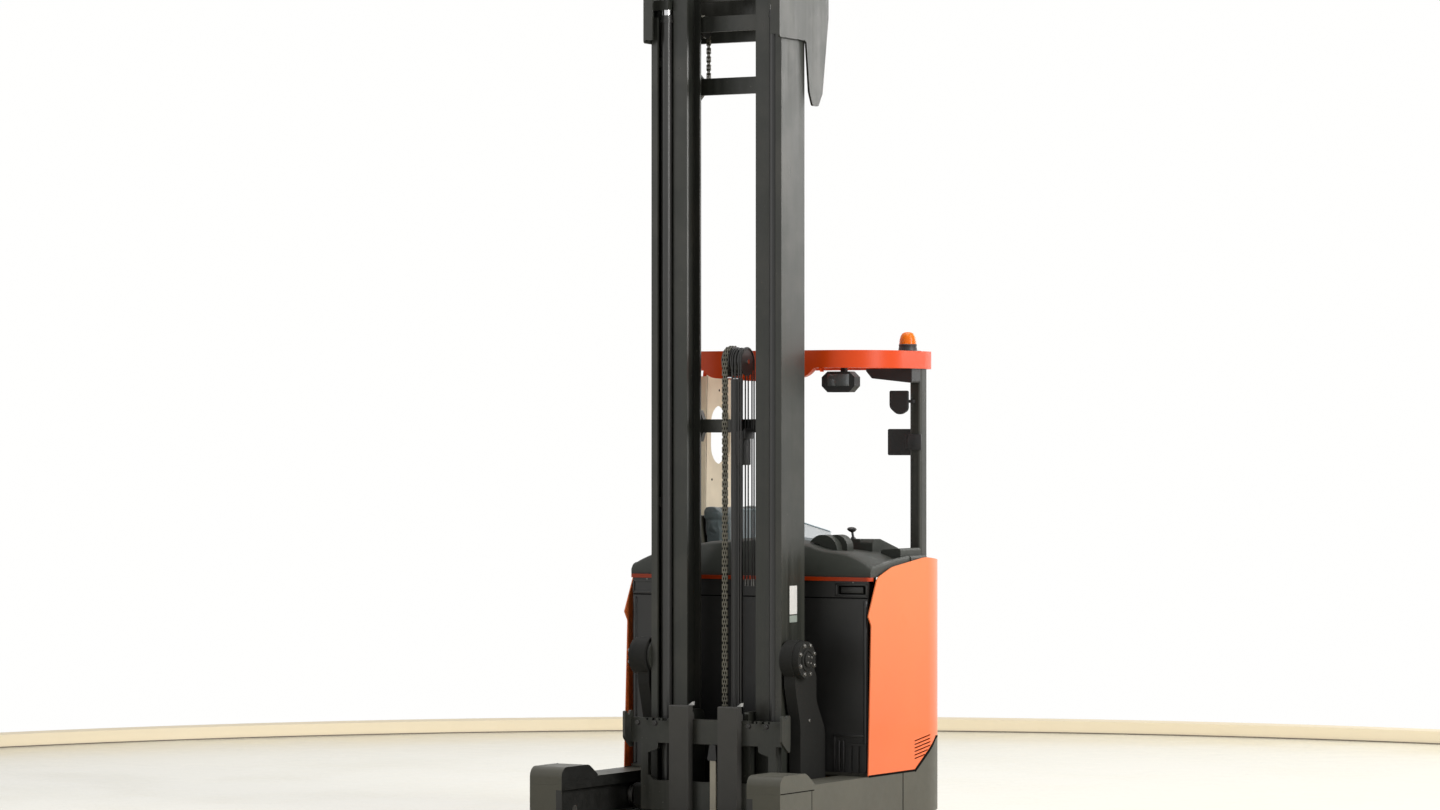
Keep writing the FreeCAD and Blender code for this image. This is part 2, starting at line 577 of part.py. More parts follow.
def cowl():
    """The moulded cowl over the battery with its rounded hoods, and the curved clear shield."""
    body = new_body("cowl")
    low = s.cover_height + s.lip_height + s.running_gap
    half, crown, shoulder = s.cowl_half, s.cowl_crown, s.cowl_shoulder
    rear = s.cowl_rear
    prism(body, "Y", (s.lip_front + 12, rear),
          [(half, low), (half, s.cowl_side_z, 18), (s.cowl_shoulder_x + 110, s.cowl_side_z + 28, 90),
           (s.cowl_shoulder_x, shoulder, 70), (0, crown, 900), (-s.cowl_shoulder_x, shoulder, 70),
           (-s.cowl_shoulder_x - 110, s.cowl_side_z + 28, 90), (-half, s.cowl_side_z, 18),
           (-half, low)])
    prism(body, "X", (-half - 1, half + 1),
          [(s.lip_front, low + 20), (s.lip_front + 12, low + 20), (s.lip_front + 60, crown - 30, 40),
           (s.lip_front + 130, crown + 1), (s.lip_front + 130, crown + 20), (s.lip_front, crown + 20)],
          cut=True)
    for side_face in (half, s.rail_width - half):
        prism(body, "X", (side_face - s.rail_width, side_face),
              [(s.lip_front + 22, low), (s.lip_front + 32, s.cowl_side_z, 20),
               (s.rail_y, s.rail_mid, 300), (rear, s.rail_top), (rear, low)])
    keep("cowl", body)
    hoods = []
    base = s.cowl_side_z + 30
    for index, (middle, reach) in enumerate(((s.hood_x, s.hood_radius),
                                             (s.hood_rear_x, s.hood_rear_radius))):
        hood = new_body("hood_{}".format(index))
        start = s.hood_y + s.hood_step * index
        prism(hood, "Y", (start, start + s.hood_length),
              [(middle - reach, base), (middle - reach, s.hood_top, reach - 2),
               (middle + reach, s.hood_top, reach - 2), (middle + reach, base)])
        hoods.append(hood)
    unit = new_body("control_unit")
    prism(unit, "X", (s.unit_inner, s.unit_outer),
          [(s.boot_front, s.unit_low), (s.boot_front, s.boot_top - 16, 12),
           (s.boot_front + 14, s.boot_top, 8), (s.unit_knee, s.boot_top, 12),
           (s.unit_rear, s.unit_end, 10), (s.unit_rear, s.unit_low)])
    boot = new_body("lever_boot")
    prism(boot, "Y", (s.boot_front, s.boot_rear),
          [(s.boot_inner, s.unit_low), (s.boot_inner, s.boot_top, 8), (s.unit_inner - 1, s.boot_top, 4),
           (s.unit_inner - 1, s.unit_low)])
    hoods += [unit, boot]
    whole = joined("cowl_hoods_whole", hoods)
    trimmed = doc.addObject("Part::Cut", "cowl_hoods")
    trimmed.Base, trimmed.Tool = whole, body
    keep("cowl_hoods", trimmed)
    shield = new_body("wind_shield")
    radius = 900
    prism(shield, "Z", (crown - 40, s.shield_top),
          [(s.shield_x - s.shield_half, s.shield_y), (s.shield_x, s.shield_y - 40, radius),
           (s.shield_x + s.shield_half, s.shield_y), (s.shield_x + s.shield_half, s.shield_y + 5),
           (s.shield_x, s.shield_y - 35, radius), (s.shield_x - s.shield_half, s.shield_y + 5)])
    prism(shield, "Y", (s.shield_y - 60, s.shield_y + 20),
          [(s.shield_x - 80, s.shield_top + 1), (s.shield_x + s.shield_half + 1, crown + 20),
           (s.shield_x + s.shield_half + 1, s.shield_top + 1)], cut=True)
    clear = doc.addObject("Part::Cut", "clear_shield")
    clear.Base, clear.Tool = shield, body
    keep("clear_shield", clear)


def console():
    """The console beside the operator, the stop button and the ball-topped lever."""
    body = new_body("side_console")
    inner, outer = s.console_inner, side - s.panel_wall - 4
    prism(body, "Y", (s.cowl_rear + s.running_gap, s.console_rear),
          [(inner, s.console_low, 20), (outer, s.console_low - 40, 8), (outer, s.console_top, 14),
           (inner, s.console_top - 18, 26)])
    prism(body, "Y", (s.rest_front, s.rest_rear),
          [(s.rest_outer, s.rest_low, 8), (s.rest_outer, s.rest_top, 12),
           (s.rest_inner, s.rest_top - 8, 12), (s.rest_inner, s.rest_low, 8)])
    keep("side_console", body)
    stop = new_body("stop_button")
    spot = (s.stop_x, s.stop_y)
    disc(stop, "Z", (s.stop_low, s.stop_collar), spot, s.stop_radius - 5)
    disc(stop, "Z", (s.stop_collar, s.stop_top), spot, s.stop_radius)
    seated = doc.addObject("Part::Cut", "stop_button_seated")
    seated.Base, seated.Tool = stop, doc.getObject("cowl")
    lever = new_body("control_lever")
    centre = (s.stick_x, s.stick_y, 0)
    foot = s.boot_top
    neck = s.stick_top - s.ball_radius
    revolve(lever, "Z", centre, [(foot, 0.01), (foot, 11, 2), (foot + 6, 9, 2), (foot + 10, 6),
                                 (neck, 6), (neck, 0.01)])
    ball = doc.addObject("Part::Sphere", "lever_ball")
    bind(ball, "Radius", s.ball_radius)
    place(ball, s.stick_x, s.stick_y, neck)
    whole = joined("control_lever", [lever, ball])
    keep("hand_controls", together("hand_controls", [seated, whole]))


def seat():
    """The sideways seat on its pedestal: base shell, cushion and backrest."""
    pedestal = new_body("seat_pedestal")
    prism(pedestal, "Z", (s.floor_top, s.pedestal_top),
          [(-s.pedestal_left, s.cowl_rear + 4), (-s.pedestal_right, s.cowl_rear + 4, 30),
           (-s.pedestal_right, s.pedestal_rear, 30), (-s.pedestal_left, s.pedestal_rear)])
    disc(pedestal, "Z", (s.floor_top - 1, s.motor_top + 6), (-s.drive_x, s.drive_y),
         s.motor_radius + 6, cut=True)
    keep("seat_pedestal", pedestal)
    shell = new_body("seat_shell")
    back, front = -s.seat_back_x, s.seat_front_x
    near, far = s.seat_low_y + 10, s.seat_high_y - 10
    block(shell, (back + 60, front - 60), (near + 60, s.pedestal_rear - 40),
          (s.pedestal_top, s.seat_base))
    prism(shell, "Y", (near, far),
          [(front - 20, s.seat_base), (front - 20, s.seat_base + 22, 8), (back + 18, s.seat_base + 22),
           (back - 28, s.back_top - 60, 6), (back - 46, s.back_top - 60), (back - 10, s.seat_base, 30)])
    keep("seat_shell", shell)
    cushion = new_body("seat_cushion")
    low = s.seat_base + 22 + s.running_gap
    prism(cushion, "Y", (s.seat_low_y, s.seat_high_y),
          [(back + 118, low), (front, low, 30), (front, low + s.cushion_depth - 8, 38),
           (back + 112, low + s.cushion_depth - 20, 20)])
    keep("seat_cushion", cushion)
    rest = new_body("seat_back")
    prism(rest, "Y", (s.seat_low_y, s.seat_high_y),
          [(back + 20, low), (back + 112, low, 20), (back + 62, s.back_top, 34),
           (back - 26, s.back_top, 30)])
    keep("seat_back", rest)


def rear_housing():
    """The housing behind the seat with the steering wheel on it."""
    body = new_body("rear_cover")
    inset = s.panel_wall + s.running_gap
    edge, rear, radius = side - inset, s.rear_end - inset, s.corner_radius - inset
    prism(body, "Z", (s.floor_top - s.floor_wall + s.running_gap, s.housing_top),
          [(-edge, rear - radius - 20), (-edge, rear, radius), (s.housing_right, rear, 30),
           (s.housing_right, rear - radius - 20)])
    block(body, (-side, side), (rear - radius - 21, s.housing_front),
          (s.floor_top - s.floor_wall, s.housing_top + 1), cut=True)
    disc(body, "Z", (s.floor_top - s.floor_wall, s.motor_top + 6), (-s.drive_x, s.drive_y),
         s.motor_radius + 6, cut=True)
    keep("rear_cover", body)
    wheel = new_body("steering_wheel")
    ring, rim, top = s.steer_ring, s.steer_rim, s.steer_top
    centre = (s.wheel_x, s.wheel_y, 0)
    revolve(wheel, "Z", centre,
            [(top - rim * 2, ring - rim, rim * 0.9), (top - rim * 2, ring + rim, rim * 0.9),
             (top, ring + rim, rim * 0.9), (top, ring - rim, rim * 0.9)])
    disc(wheel, "Z", (s.housing_top, top - 6), (s.wheel_x, s.wheel_y), s.column_radius)
    for turn in (0, 120, 240):
        angle = math.radians(turn + 30)
        across = (-math.sin(angle) * 12, math.cos(angle) * 12)
        reach = ((ring - 2) * math.cos(angle), (ring - 2) * math.sin(angle))
        prism(wheel, "Z", (top - 18, top - 9),
              [(s.wheel_x - across[0], s.wheel_y - across[1]),
               (s.wheel_x + reach[0] - across[0], s.wheel_y + reach[1] - across[1]),
               (s.wheel_x + reach[0] + across[0], s.wheel_y + reach[1] + across[1]),
               (s.wheel_x + across[0], s.wheel_y + across[1])])
    keep("steering_wheel", wheel)


def guard():
    """The overhead guard: a rounded ring with bars, a deeper front fascia, a post and a pillar."""
    body = new_body("overhead_guard")
    half, front, rear, top = s.guard_half, s.guard_front, s.guard_rear, s.guard_top
    low, corner, rail = top - s.guard_band, s.guard_corner, s.guard_rail
    ring = [(-half, front, corner), (half, front, corner), (half, rear, corner), (-half, rear, corner)]
    prism(body, "Z", (low, top), ring)
    prism(body, "Z", (low - 1, top + 1),
          [(-half + rail, front + rail, corner - rail), (half - rail, front + rail, corner - rail),
           (half - rail, rear - rail, corner - rail), (-half + rail, rear - rail, corner - rail)],
          cut=True)
    dip = top - s.guard_dip
    prism(body, "Y", (front, front + s.fascia_depth),
          [(-half + corner, low + 1), (-half + corner, low - 18), (-330, dip + 26, 90), (0, dip, 900),
           (330, dip + 26, 90), (half - corner, low - 18), (half - corner, low + 1)])
    count = int(float(s.guard_bar_count))
    pitch = (2 * half - 2 * rail) / (count + 1)
    for index in range(count):
        middle = -half + rail + pitch * (index + 1)
        width = s.guard_bar_width / 2
        block(body, (middle - width, middle + width), (front + rail - 40, rear - rail + 40),
              (top - s.guard_bar_height - 6, top - 6))
    keep("overhead_guard", body)
    post = new_body("guard_post")
    foot = s.floor_top + s.running_gap
    wide, deep = s.post_width / 2, s.post_depth / 2
    prism(post, "Z", (foot, low),
          [(s.post_x - wide, s.post_y - deep, 14), (s.post_x + wide, s.post_y - deep, 14),
           (s.post_x + wide, s.post_y + deep, 14), (s.post_x - wide, s.post_y + deep, 14)])
    keep("guard_post", post)
    pillar = new_body("guard_pillar")
    inner = -s.pillar_x
    prism(pillar, "X", (inner, inner + s.pillar_wall),
          [(s.pillar_front - 20, s.pillar_low), (s.pillar_foot, s.pillar_low),
           (s.pillar_rear, low - 60, 60), (s.pillar_rear - 40, low), (s.pillar_front + 20, low),
           (s.pillar_front, low - 90, 60)])
    prism(pillar, "X", (inner - 1, inner + s.pillar_wall + 1),
          [(s.window_front, s.window_low, 90), (s.window_rear, s.window_low, 24),
           (s.window_rear, s.window_high, 24), (s.window_front, s.window_high, 90)], cut=True)
    block(pillar, (inner, inner + s.pillar_wall), (s.pillar_leg_front, s.pillar_leg_rear),
          (s.pedestal_top, s.pillar_low + 1))
    keep("guard_pillar", pillar)


def guard_fittings():
    """The beacon on the guard and the lamp, box, mirror and bracket below it."""
    beacon = new_body("beacon")
    base, radius, height = s.guard_top, s.beacon_radius, s.beacon_height
    where = (s.beacon_x, s.beacon_y, 0)
    block(beacon, (s.beacon_x - s.beacon_plate, s.beacon_x + s.beacon_plate),
          (s.beacon_y - s.beacon_plate, s.beacon_y + s.beacon_plate), (base, base + 6))
    revolve(beacon, "Z", where,
            [(base + 5, 0.01), (base + 5, radius + 4), (base + s.beacon_base, radius + 2, 4),
             (base + s.beacon_base, radius - 2), (base + height, radius - 9, 26), (base + height, 0.01)])
    keep("beacon", beacon)
    roof = s.guard_top - s.guard_band
    lamp = new_body("roof_lamp")
    prism(lamp, "Y", (s.guard_front + 60, s.guard_front + 115),
          [(300, 2030, 6), (330, 2002, 6), (440, 2002, 6), (468, 2030, 6), (468, 2070, 6), (440, 2096, 6),
           (330, 2096, 6), (300, 2070, 6)])
    block(lamp, (386, 410), (s.guard_front + 80, s.guard_front + 104), (2090, roof + 46))
    box = new_body("roof_box")
    prism(box, "Y", (s.post_y - 120, s.post_y - s.post_depth / 2 - 2),
          [(s.box_inner, roof - 10), (s.box_inner + 30, s.box_low + 22, 12),
           (s.guard_half - 12, s.box_low, 10), (s.guard_half - 12, roof), (s.box_inner, roof)])
    mirror = new_body("mirror")
    prism(mirror, "Y", (s.post_y - 72, s.post_y - 56),
          [(s.mirror_outer - s.mirror_width / 2, s.mirror_low, 40), (s.mirror_outer, s.mirror_low + 26, 26),
           (s.mirror_outer, s.mirror_high, 8), (s.mirror_outer - s.mirror_width, s.mirror_high, 8),
           (s.mirror_outer - s.mirror_width, s.mirror_low + 40, 30)])
    arm_z = s.mirror_high - 56
    block(mirror, (s.mirror_outer - 20, s.post_x), (s.post_y - 57, s.post_y - s.post_depth / 2),
          (arm_z, arm_z + 14))
    bracket = new_body("terminal_bracket")
    face = s.post_x - s.post_width / 2
    prism(bracket, "Y", (s.post_y - 8, s.post_y),
          [(face - s.terminal_width, s.terminal_low, 8), (face, s.terminal_low), (face, s.terminal_high),
           (face - s.terminal_width, s.terminal_high, 8)])
    keep("guard_fittings", together("guard_fittings", [lamp, box, mirror, bracket]))


def drive_unit():
    """The steered drive unit: motor and turntable, gearbox leg with its axle, and the wheel."""
    body = new_body("drive_unit")
    centre = (-s.drive_x, s.drive_y)
    half, radius = s.drive_wheel_width / 2, s.drive_wheel_radius
    low, deck = s.turntable_low, s.drive_plate_low - s.running_gap
    disc(body, "Z", (low, deck), centre, s.turntable_radius)
    disc(body, "Z", (deck, s.motor_top), centre, s.motor_radius)
    leg = -s.drive_x + half + s.gearbox_gap
    prism(body, "X", (leg, leg + s.gearbox_depth),
          [(s.drive_y - 60, radius - 45, 44), (s.drive_y + 60, radius - 45, 44), (s.drive_y + 95, low, 20),
           (s.drive_y + 95, low + 8), (s.drive_y - 95, low + 8), (s.drive_y - 95, low, 20)])
    disc(body, "X", (-s.drive_x - half + 12, leg + 1), (s.drive_y, radius), s.drive_axle_radius)
    keep("drive_unit", body)
    middle = (0, s.drive_y, radius)
    inner, outer = -s.drive_x - half, -s.drive_x + half
    rim = radius - s.drive_tyre_depth
    bore = s.drive_axle_radius + s.running_gap
    hub = new_body("drive_hub")
    revolve(hub, "X", middle,
            [(inner + 8, 0.01), (inner + 8, 60, 10), (inner + 30, 76), (inner + 30, rim - 14),
             (inner, rim - 8), (inner, rim), (outer, rim), (outer, rim - 8), (outer - 40, rim - 14),
             (outer - 40, 70), (outer - 4, 60), (outer - 4, bore), (inner + 12 - s.running_gap, bore),
             (inner + 12 - s.running_gap, 0.01)])
    keep("drive_hub", hub)
    tyre = new_body("drive_tyre")
    revolve(tyre, "X", middle,
            [(inner, rim), (outer, rim), (outer, radius, 14), (inner, radius, 14)])
    keep("drive_tyre", tyre)


def reach_carriage():
    """The reach carriage: S-shaped arms with pivot hubs, a rear beam, rollers and its cylinder."""
    half = new_body("reach_frame_half")
    pivot, top = (s.pivot_y, s.pivot_z), s.pivot_z
    rear_top = s.pivot_y + 148
    prism(half, "X", (s.reach_inner, s.reach_outer),
          [(s.pivot_y - 50, top - 20, 20), (s.pivot_y - 48, top - 120, 80),
           (s.reach_front, top - 290, 160), (s.reach_front, s.reach_low, 20),
           (s.reach_rear, s.reach_low, 20), (s.reach_rear, top - 320, 110),
           (rear_top, top - 190, 110), (rear_top, top - 70, 60), (s.pivot_y + 40, top + 60, 20)])
    disc(half, "X", (s.reach_inner, s.reach_outer), pivot, s.hub_radius)
    disc(half, "X", (s.reach_outer, s.hub_outer), pivot, s.hub_radius - 6)
    disc(half, "X", (s.reach_inner - 1, s.pin_outer + 1), pivot, s.pivot_radius + 0.08, cut=True)
    block(half, (0, s.reach_inner), (s.reach_beam_front, s.reach_beam_rear),
          (s.reach_low, s.reach_beam_top))
    prism(half, "X", (s.reach_outer, s.roller_block),
          [(s.reach_front + 6, s.channel_low + 4, 20), (s.reach_rear - 5, s.channel_low + 4, 20),
           (s.reach_rear - 5, s.channel_high - 4, 20), (s.reach_front + 6, s.channel_high - 4, 20)])
    pair("reach_frame", half, fuse=True)
    rollers = []
    middle = (s.channel_low + s.channel_high) / 2
    radius = (s.channel_high - s.channel_low) / 2 - s.running_gap
    for index, where in enumerate((s.roller_front_y, s.roller_rear_y)):
        roller = new_body("reach_roller_{}".format(index))
        inner = s.roller_block
        revolve(roller, "X", (0, where, middle),
                [(inner, 0.01), (inner, 26), (inner + 9, 26), (inner + 9, radius),
                 (inner + s.roller_width, radius, 3), (inner + s.roller_width, 0.01)])
        rollers.append(roller)
    pair("reach_rollers", together("reach_roller_pair", rollers))
    rod = new_body("reach_rod")
    spot = (0, s.reach_cylinder_z)
    disc(rod, "Y", (s.reach_beam_rear, s.reach_rod_end), spot, s.reach_rod)
    keep("reach_rod", rod)
    barrel = new_body("reach_barrel")
    disc(barrel, "Y", (s.reach_barrel_front, s.reach_barrel_end), spot, s.reach_barrel)
    disc(barrel, "Y", (s.reach_barrel_front - 1, s.reach_barrel_end - 20), spot, s.reach_bore, cut=True)
    keep("reach_barrel", barrel)


def crossbar(body, half, y, z):
    """Half a cross-member, from the middle of the mast out to one side."""
    block(body, (0, half), y, z)


def outer_mast():
    """The tilting outer mast: channel rails with a front lip, foot, crossbars and pivot pins."""
    half = new_body("outer_mast_half")
    wall = s.rail_wall
    out, web, lip, tip = s.outer_web_out, s.outer_web_in, s.outer_lip, s.outer_flange
    front, rear, mid = s.outer_front, s.outer_rear, s.outer_flange_y
    prism(half, "Z", (s.outer_low, s.outer_top),
          [(lip, front), (out, front), (out, rear), (tip, rear), (tip, rear - wall), (web, rear - wall),
           (web, mid + wall), (tip, mid + wall), (tip, mid), (web, mid), (web, front + wall),
           (lip, front + wall)])
    foot_low = s.outer_low - s.mast_foot_wall
    block(half, (0, out), (s.mast_foot_front, rear), (foot_low, s.outer_low))
    bar = (s.outer_bar_front, s.outer_bar_rear)
    for low, high in ((s.head_bar_low, s.head_bar_high), (s.middle_bar_low, s.middle_bar_high)):
        crossbar(half, s.ear_out, bar, (low, high))
        ear_low, ear_high = low - s.ear_spread, high + s.ear_spread
        prism(half, "Y", bar,
              [(tip - s.ear_taper, low), (tip - wall, ear_low, wall), (s.ear_out, ear_low),
               (s.ear_out, ear_high),
               (tip - wall, ear_high, wall), (tip - s.ear_taper, high)])
        block(half, (tip, s.ear_out), (rear, s.outer_bar_front), (ear_low, ear_high))
    block(half, (s.middle_flange_out + s.running_gap, web), (s.middle_rear - wall, s.middle_rear),
          (s.outer_top - s.pad_length, s.outer_top))
    pivot = (s.pivot_y, s.pivot_z)
    disc(half, "X", (out, out + s.boss_wall), pivot, s.hub_radius - 14)
    disc(half, "X", (out, s.pin_outer), pivot, s.pivot_radius)
    pair("outer_mast", half, fuse=True)
    tube = new_body("lift_cylinder")
    spot = (s.lift_x, s.lift_y)
    disc(tube, "Z", (s.outer_low, s.lift_barrel_top), spot, s.lift_barrel)
    disc(tube, "Z", (s.outer_low + 40, s.lift_barrel_top + 1), spot, s.lift_bore, cut=True)
    block(tube, (s.lift_x + s.lift_barrel - 4, web), (s.lift_y - 12, s.lift_y + 12),
          (s.lift_barrel_top - 200, s.lift_barrel_top - 160))
    block(tube, (s.lift_x + s.lift_barrel - 4, web), (s.lift_y - 12, s.lift_y + 12),
          (s.middle_bar_low - 340, s.middle_bar_low - 300))
    pair("lift_cylinders", tube)


def intermediate_mast():
    """The intermediate mast: I-section rails, rear crossbars and head plates with pulleys."""
    half = new_body("intermediate_mast_half")
    wall = s.rail_wall
    inner, outer, tip = s.middle_web_in, s.middle_web_out, s.middle_flange_out
    front, rear = s.middle_front, s.middle_rear
    prism(half, "Z", (s.middle_low, s.middle_top),
          [(s.middle_front_in, front), (tip, front), (tip, front + wall), (outer, front + wall),
           (outer, rear - wall), (tip, rear - wall), (tip, rear), (s.middle_rear_in, rear),
           (s.middle_rear_in, rear - wall), (inner, rear - wall), (inner, front + wall),
           (s.middle_front_in, front + wall)])
    bar = (s.middle_bar_front, s.middle_bar_rear)
    crossbar(half, s.middle_bar_half, bar, (s.foot_bar_low, s.foot_bar_high))
    block(half, (s.side_chain_x + 16, s.middle_bar_half), (rear, s.middle_bar_front),
          (s.foot_bar_low, s.foot_bar_high))
    crossbar(half, s.middle_rear_in, (s.inner_bar_rear + 5, rear + 14), (s.crown_bar_low, s.middle_top))
    block(half, (s.inner_rear_out + s.running_gap, inner), (s.inner_rear - wall, s.inner_rear),
          (s.middle_top - s.pad_length, s.middle_top))
    block(half, (inner, s.head_plate_in), (front, rear), (s.middle_top, s.middle_top + 40))
    plate_front, plate_rear = -s.head_front, s.head_rear
    prism(half, "X", (s.head_plate_in, s.head_plate_out),
          [(plate_front, s.head_low, 12), (s.leg_front - 30, s.head_low, 20),
           (s.leg_front, s.leg_low + 60, 30), (s.leg_front + 30, s.leg_low, 16),
           (s.leg_rear - 40, s.leg_low, 16), (s.leg_rear, s.leg_low + 60, 30),
           (plate_rear, s.head_low + 120, 40), (plate_rear, s.head_high, 12),
           (plate_front, s.head_high, 12)])
    block(half, (s.head_plate_out - 46, s.head_plate_out), (plate_front, plate_front + 10),
          (s.head_low + 14, s.head_high - 14))
    block(half, (s.lift_x - 22, s.head_plate_in), (s.lift_y - 26, s.lift_y + 22),
          (s.lift_rod_top, s.lift_rod_top + 44))
    block(half, (0, s.head_plate_in), (s.side_chain_y + 106, plate_rear - 20),
          (s.side_pulley_z + 64, s.head_high - 10))
    block(half, (0, s.head_plate_in), (s.side_chain_y + 106, s.side_chain_y + 128),
          (s.head_low + 20, s.side_pulley_z + 64))
    disc(half, "X", (s.side_chain_x + s.side_chain_width / 2 + 7 + s.running_gap, s.head_plate_in),
         (s.side_chain_y + s.side_chain_turn, s.side_pulley_z), 14)
    pair("intermediate_mast", half, fuse=True)
    rod = new_body("lift_rod")
    spot = (s.lift_x, s.lift_y)
    disc(rod, "Z", (s.outer_low + 60, s.lift_rod_top), spot, s.lift_rod)
    disc(rod, "Z", (s.lift_rod_top - 26, s.lift_rod_top), spot, s.lift_barrel - 2)
    pair("lift_rods", rod)
    chain = new_body("side_chain")
    turn, deep = s.side_chain_turn, s.chain_depth / 2
    middle, top = s.side_chain_y + turn, s.side_pulley_z
    span = (s.side_chain_x - s.side_chain_width / 2, s.side_chain_x + s.side_chain_width / 2)
    disc(chain, "X", span, (middle, top), turn + deep)
    block(chain, span, (middle - turn - deep, middle + turn + deep), (s.side_chain_low, top), cut=False)
    disc(chain, "X", (span[0] - 1, span[1] + 1), (middle, top), turn - deep, cut=True)
    block(chain, (span[0] - 1, span[1] + 1), (middle - turn + deep, middle + turn - deep),
          (s.side_chain_low - 1, top), cut=True)
    block(chain, (span[0] - 1, span[1] + 1), (middle + turn - deep - 1, middle + turn + deep + 1),
          (s.side_chain_low - 1, s.side_chain_rear), cut=True)
    pair("side_chains", chain)
    pulley = new_body("side_pulley")
    edge = s.side_chain_width / 2
    revolve(pulley, "X", (0, middle, top),
            [(s.side_chain_x - edge - 7, 0.01), (s.side_chain_x - edge - 7, turn + 6),
             (s.side_chain_x - edge - 1, turn + 6), (s.side_chain_x - edge - 1, turn - deep - 0.3),
             (s.side_chain_x + edge + 1, turn - deep - 0.3), (s.side_chain_x + edge + 1, turn + 6),
             (s.side_chain_x + edge + 7, turn + 6), (s.side_chain_x + edge + 7, 0.01)])
    pair("side_pulleys", pulley)


def inner_mast():
    """The inner mast: I-section rails, rear crossbars and the foot of the free-lift cylinder."""
    half = new_body("inner_mast_half")
    wall = s.rail_wall
    inner, outer = s.inner_web_in, s.inner_web_out
    front, rear, low, top = s.inner_front, s.inner_rear, s.inner_low, s.mast_top
    prism(half, "Z", (low, top),
          [(s.inner_flange_in, front), (s.inner_front_out, front), (s.inner_front_out, front + wall),
           (outer, front + wall), (outer, rear - wall), (s.inner_rear_out, rear - wall),
           (s.inner_rear_out, rear), (s.inner_flange_in, rear), (s.inner_flange_in, rear - wall),
           (inner, rear - wall), (inner, front + wall), (s.inner_flange_in, front + wall)])
    bar = (s.inner_bar_front, s.inner_bar_rear)
    for bottom, height in ((s.inner_foot_low, s.inner_foot_high), (s.clamp_low, s.clamp_high),
                           (top - s.head_bar_drop, top - 8)):
        crossbar(half, s.inner_bar_half, bar, (bottom, height))
    mast = pair("inner_mast_rails", half, fuse=True)
    del parts["inner_mast_rails"]
    shelf = new_body("cylinder_shelf")
    block(shelf, (s.free_x - 60, s.free_x + 60), (s.free_y - 34, s.inner_bar_rear),
          (s.free_foot - 24, s.free_foot))
    block(shelf, (s.free_x - 60, s.free_x + 60), (s.inner_bar_front, s.inner_bar_rear),
          (s.inner_foot_low, s.free_foot))
    anchor = new_body("chain_anchor_post")
    block(anchor, (s.chain_x - s.chain_width / 2, s.chain_x + s.chain_width / 2),
          (s.free_y + s.free_barrel + 5, s.inner_bar_rear), (s.clamp_low, s.free_barrel_top + 4))
    keep("inner_mast", joined("inner_mast", [mast, shelf, anchor]))
    tube = new_body("free_lift_cylinder")
    spot = (s.free_x, s.free_y)
    disc(tube, "Z", (s.free_foot, s.free_barrel_top), spot, s.free_barrel)
    disc(tube, "Z", (s.free_foot + 60, s.free_barrel_top + 1), spot, s.free_bore, cut=True)
    keep("free_lift_cylinder", tube)


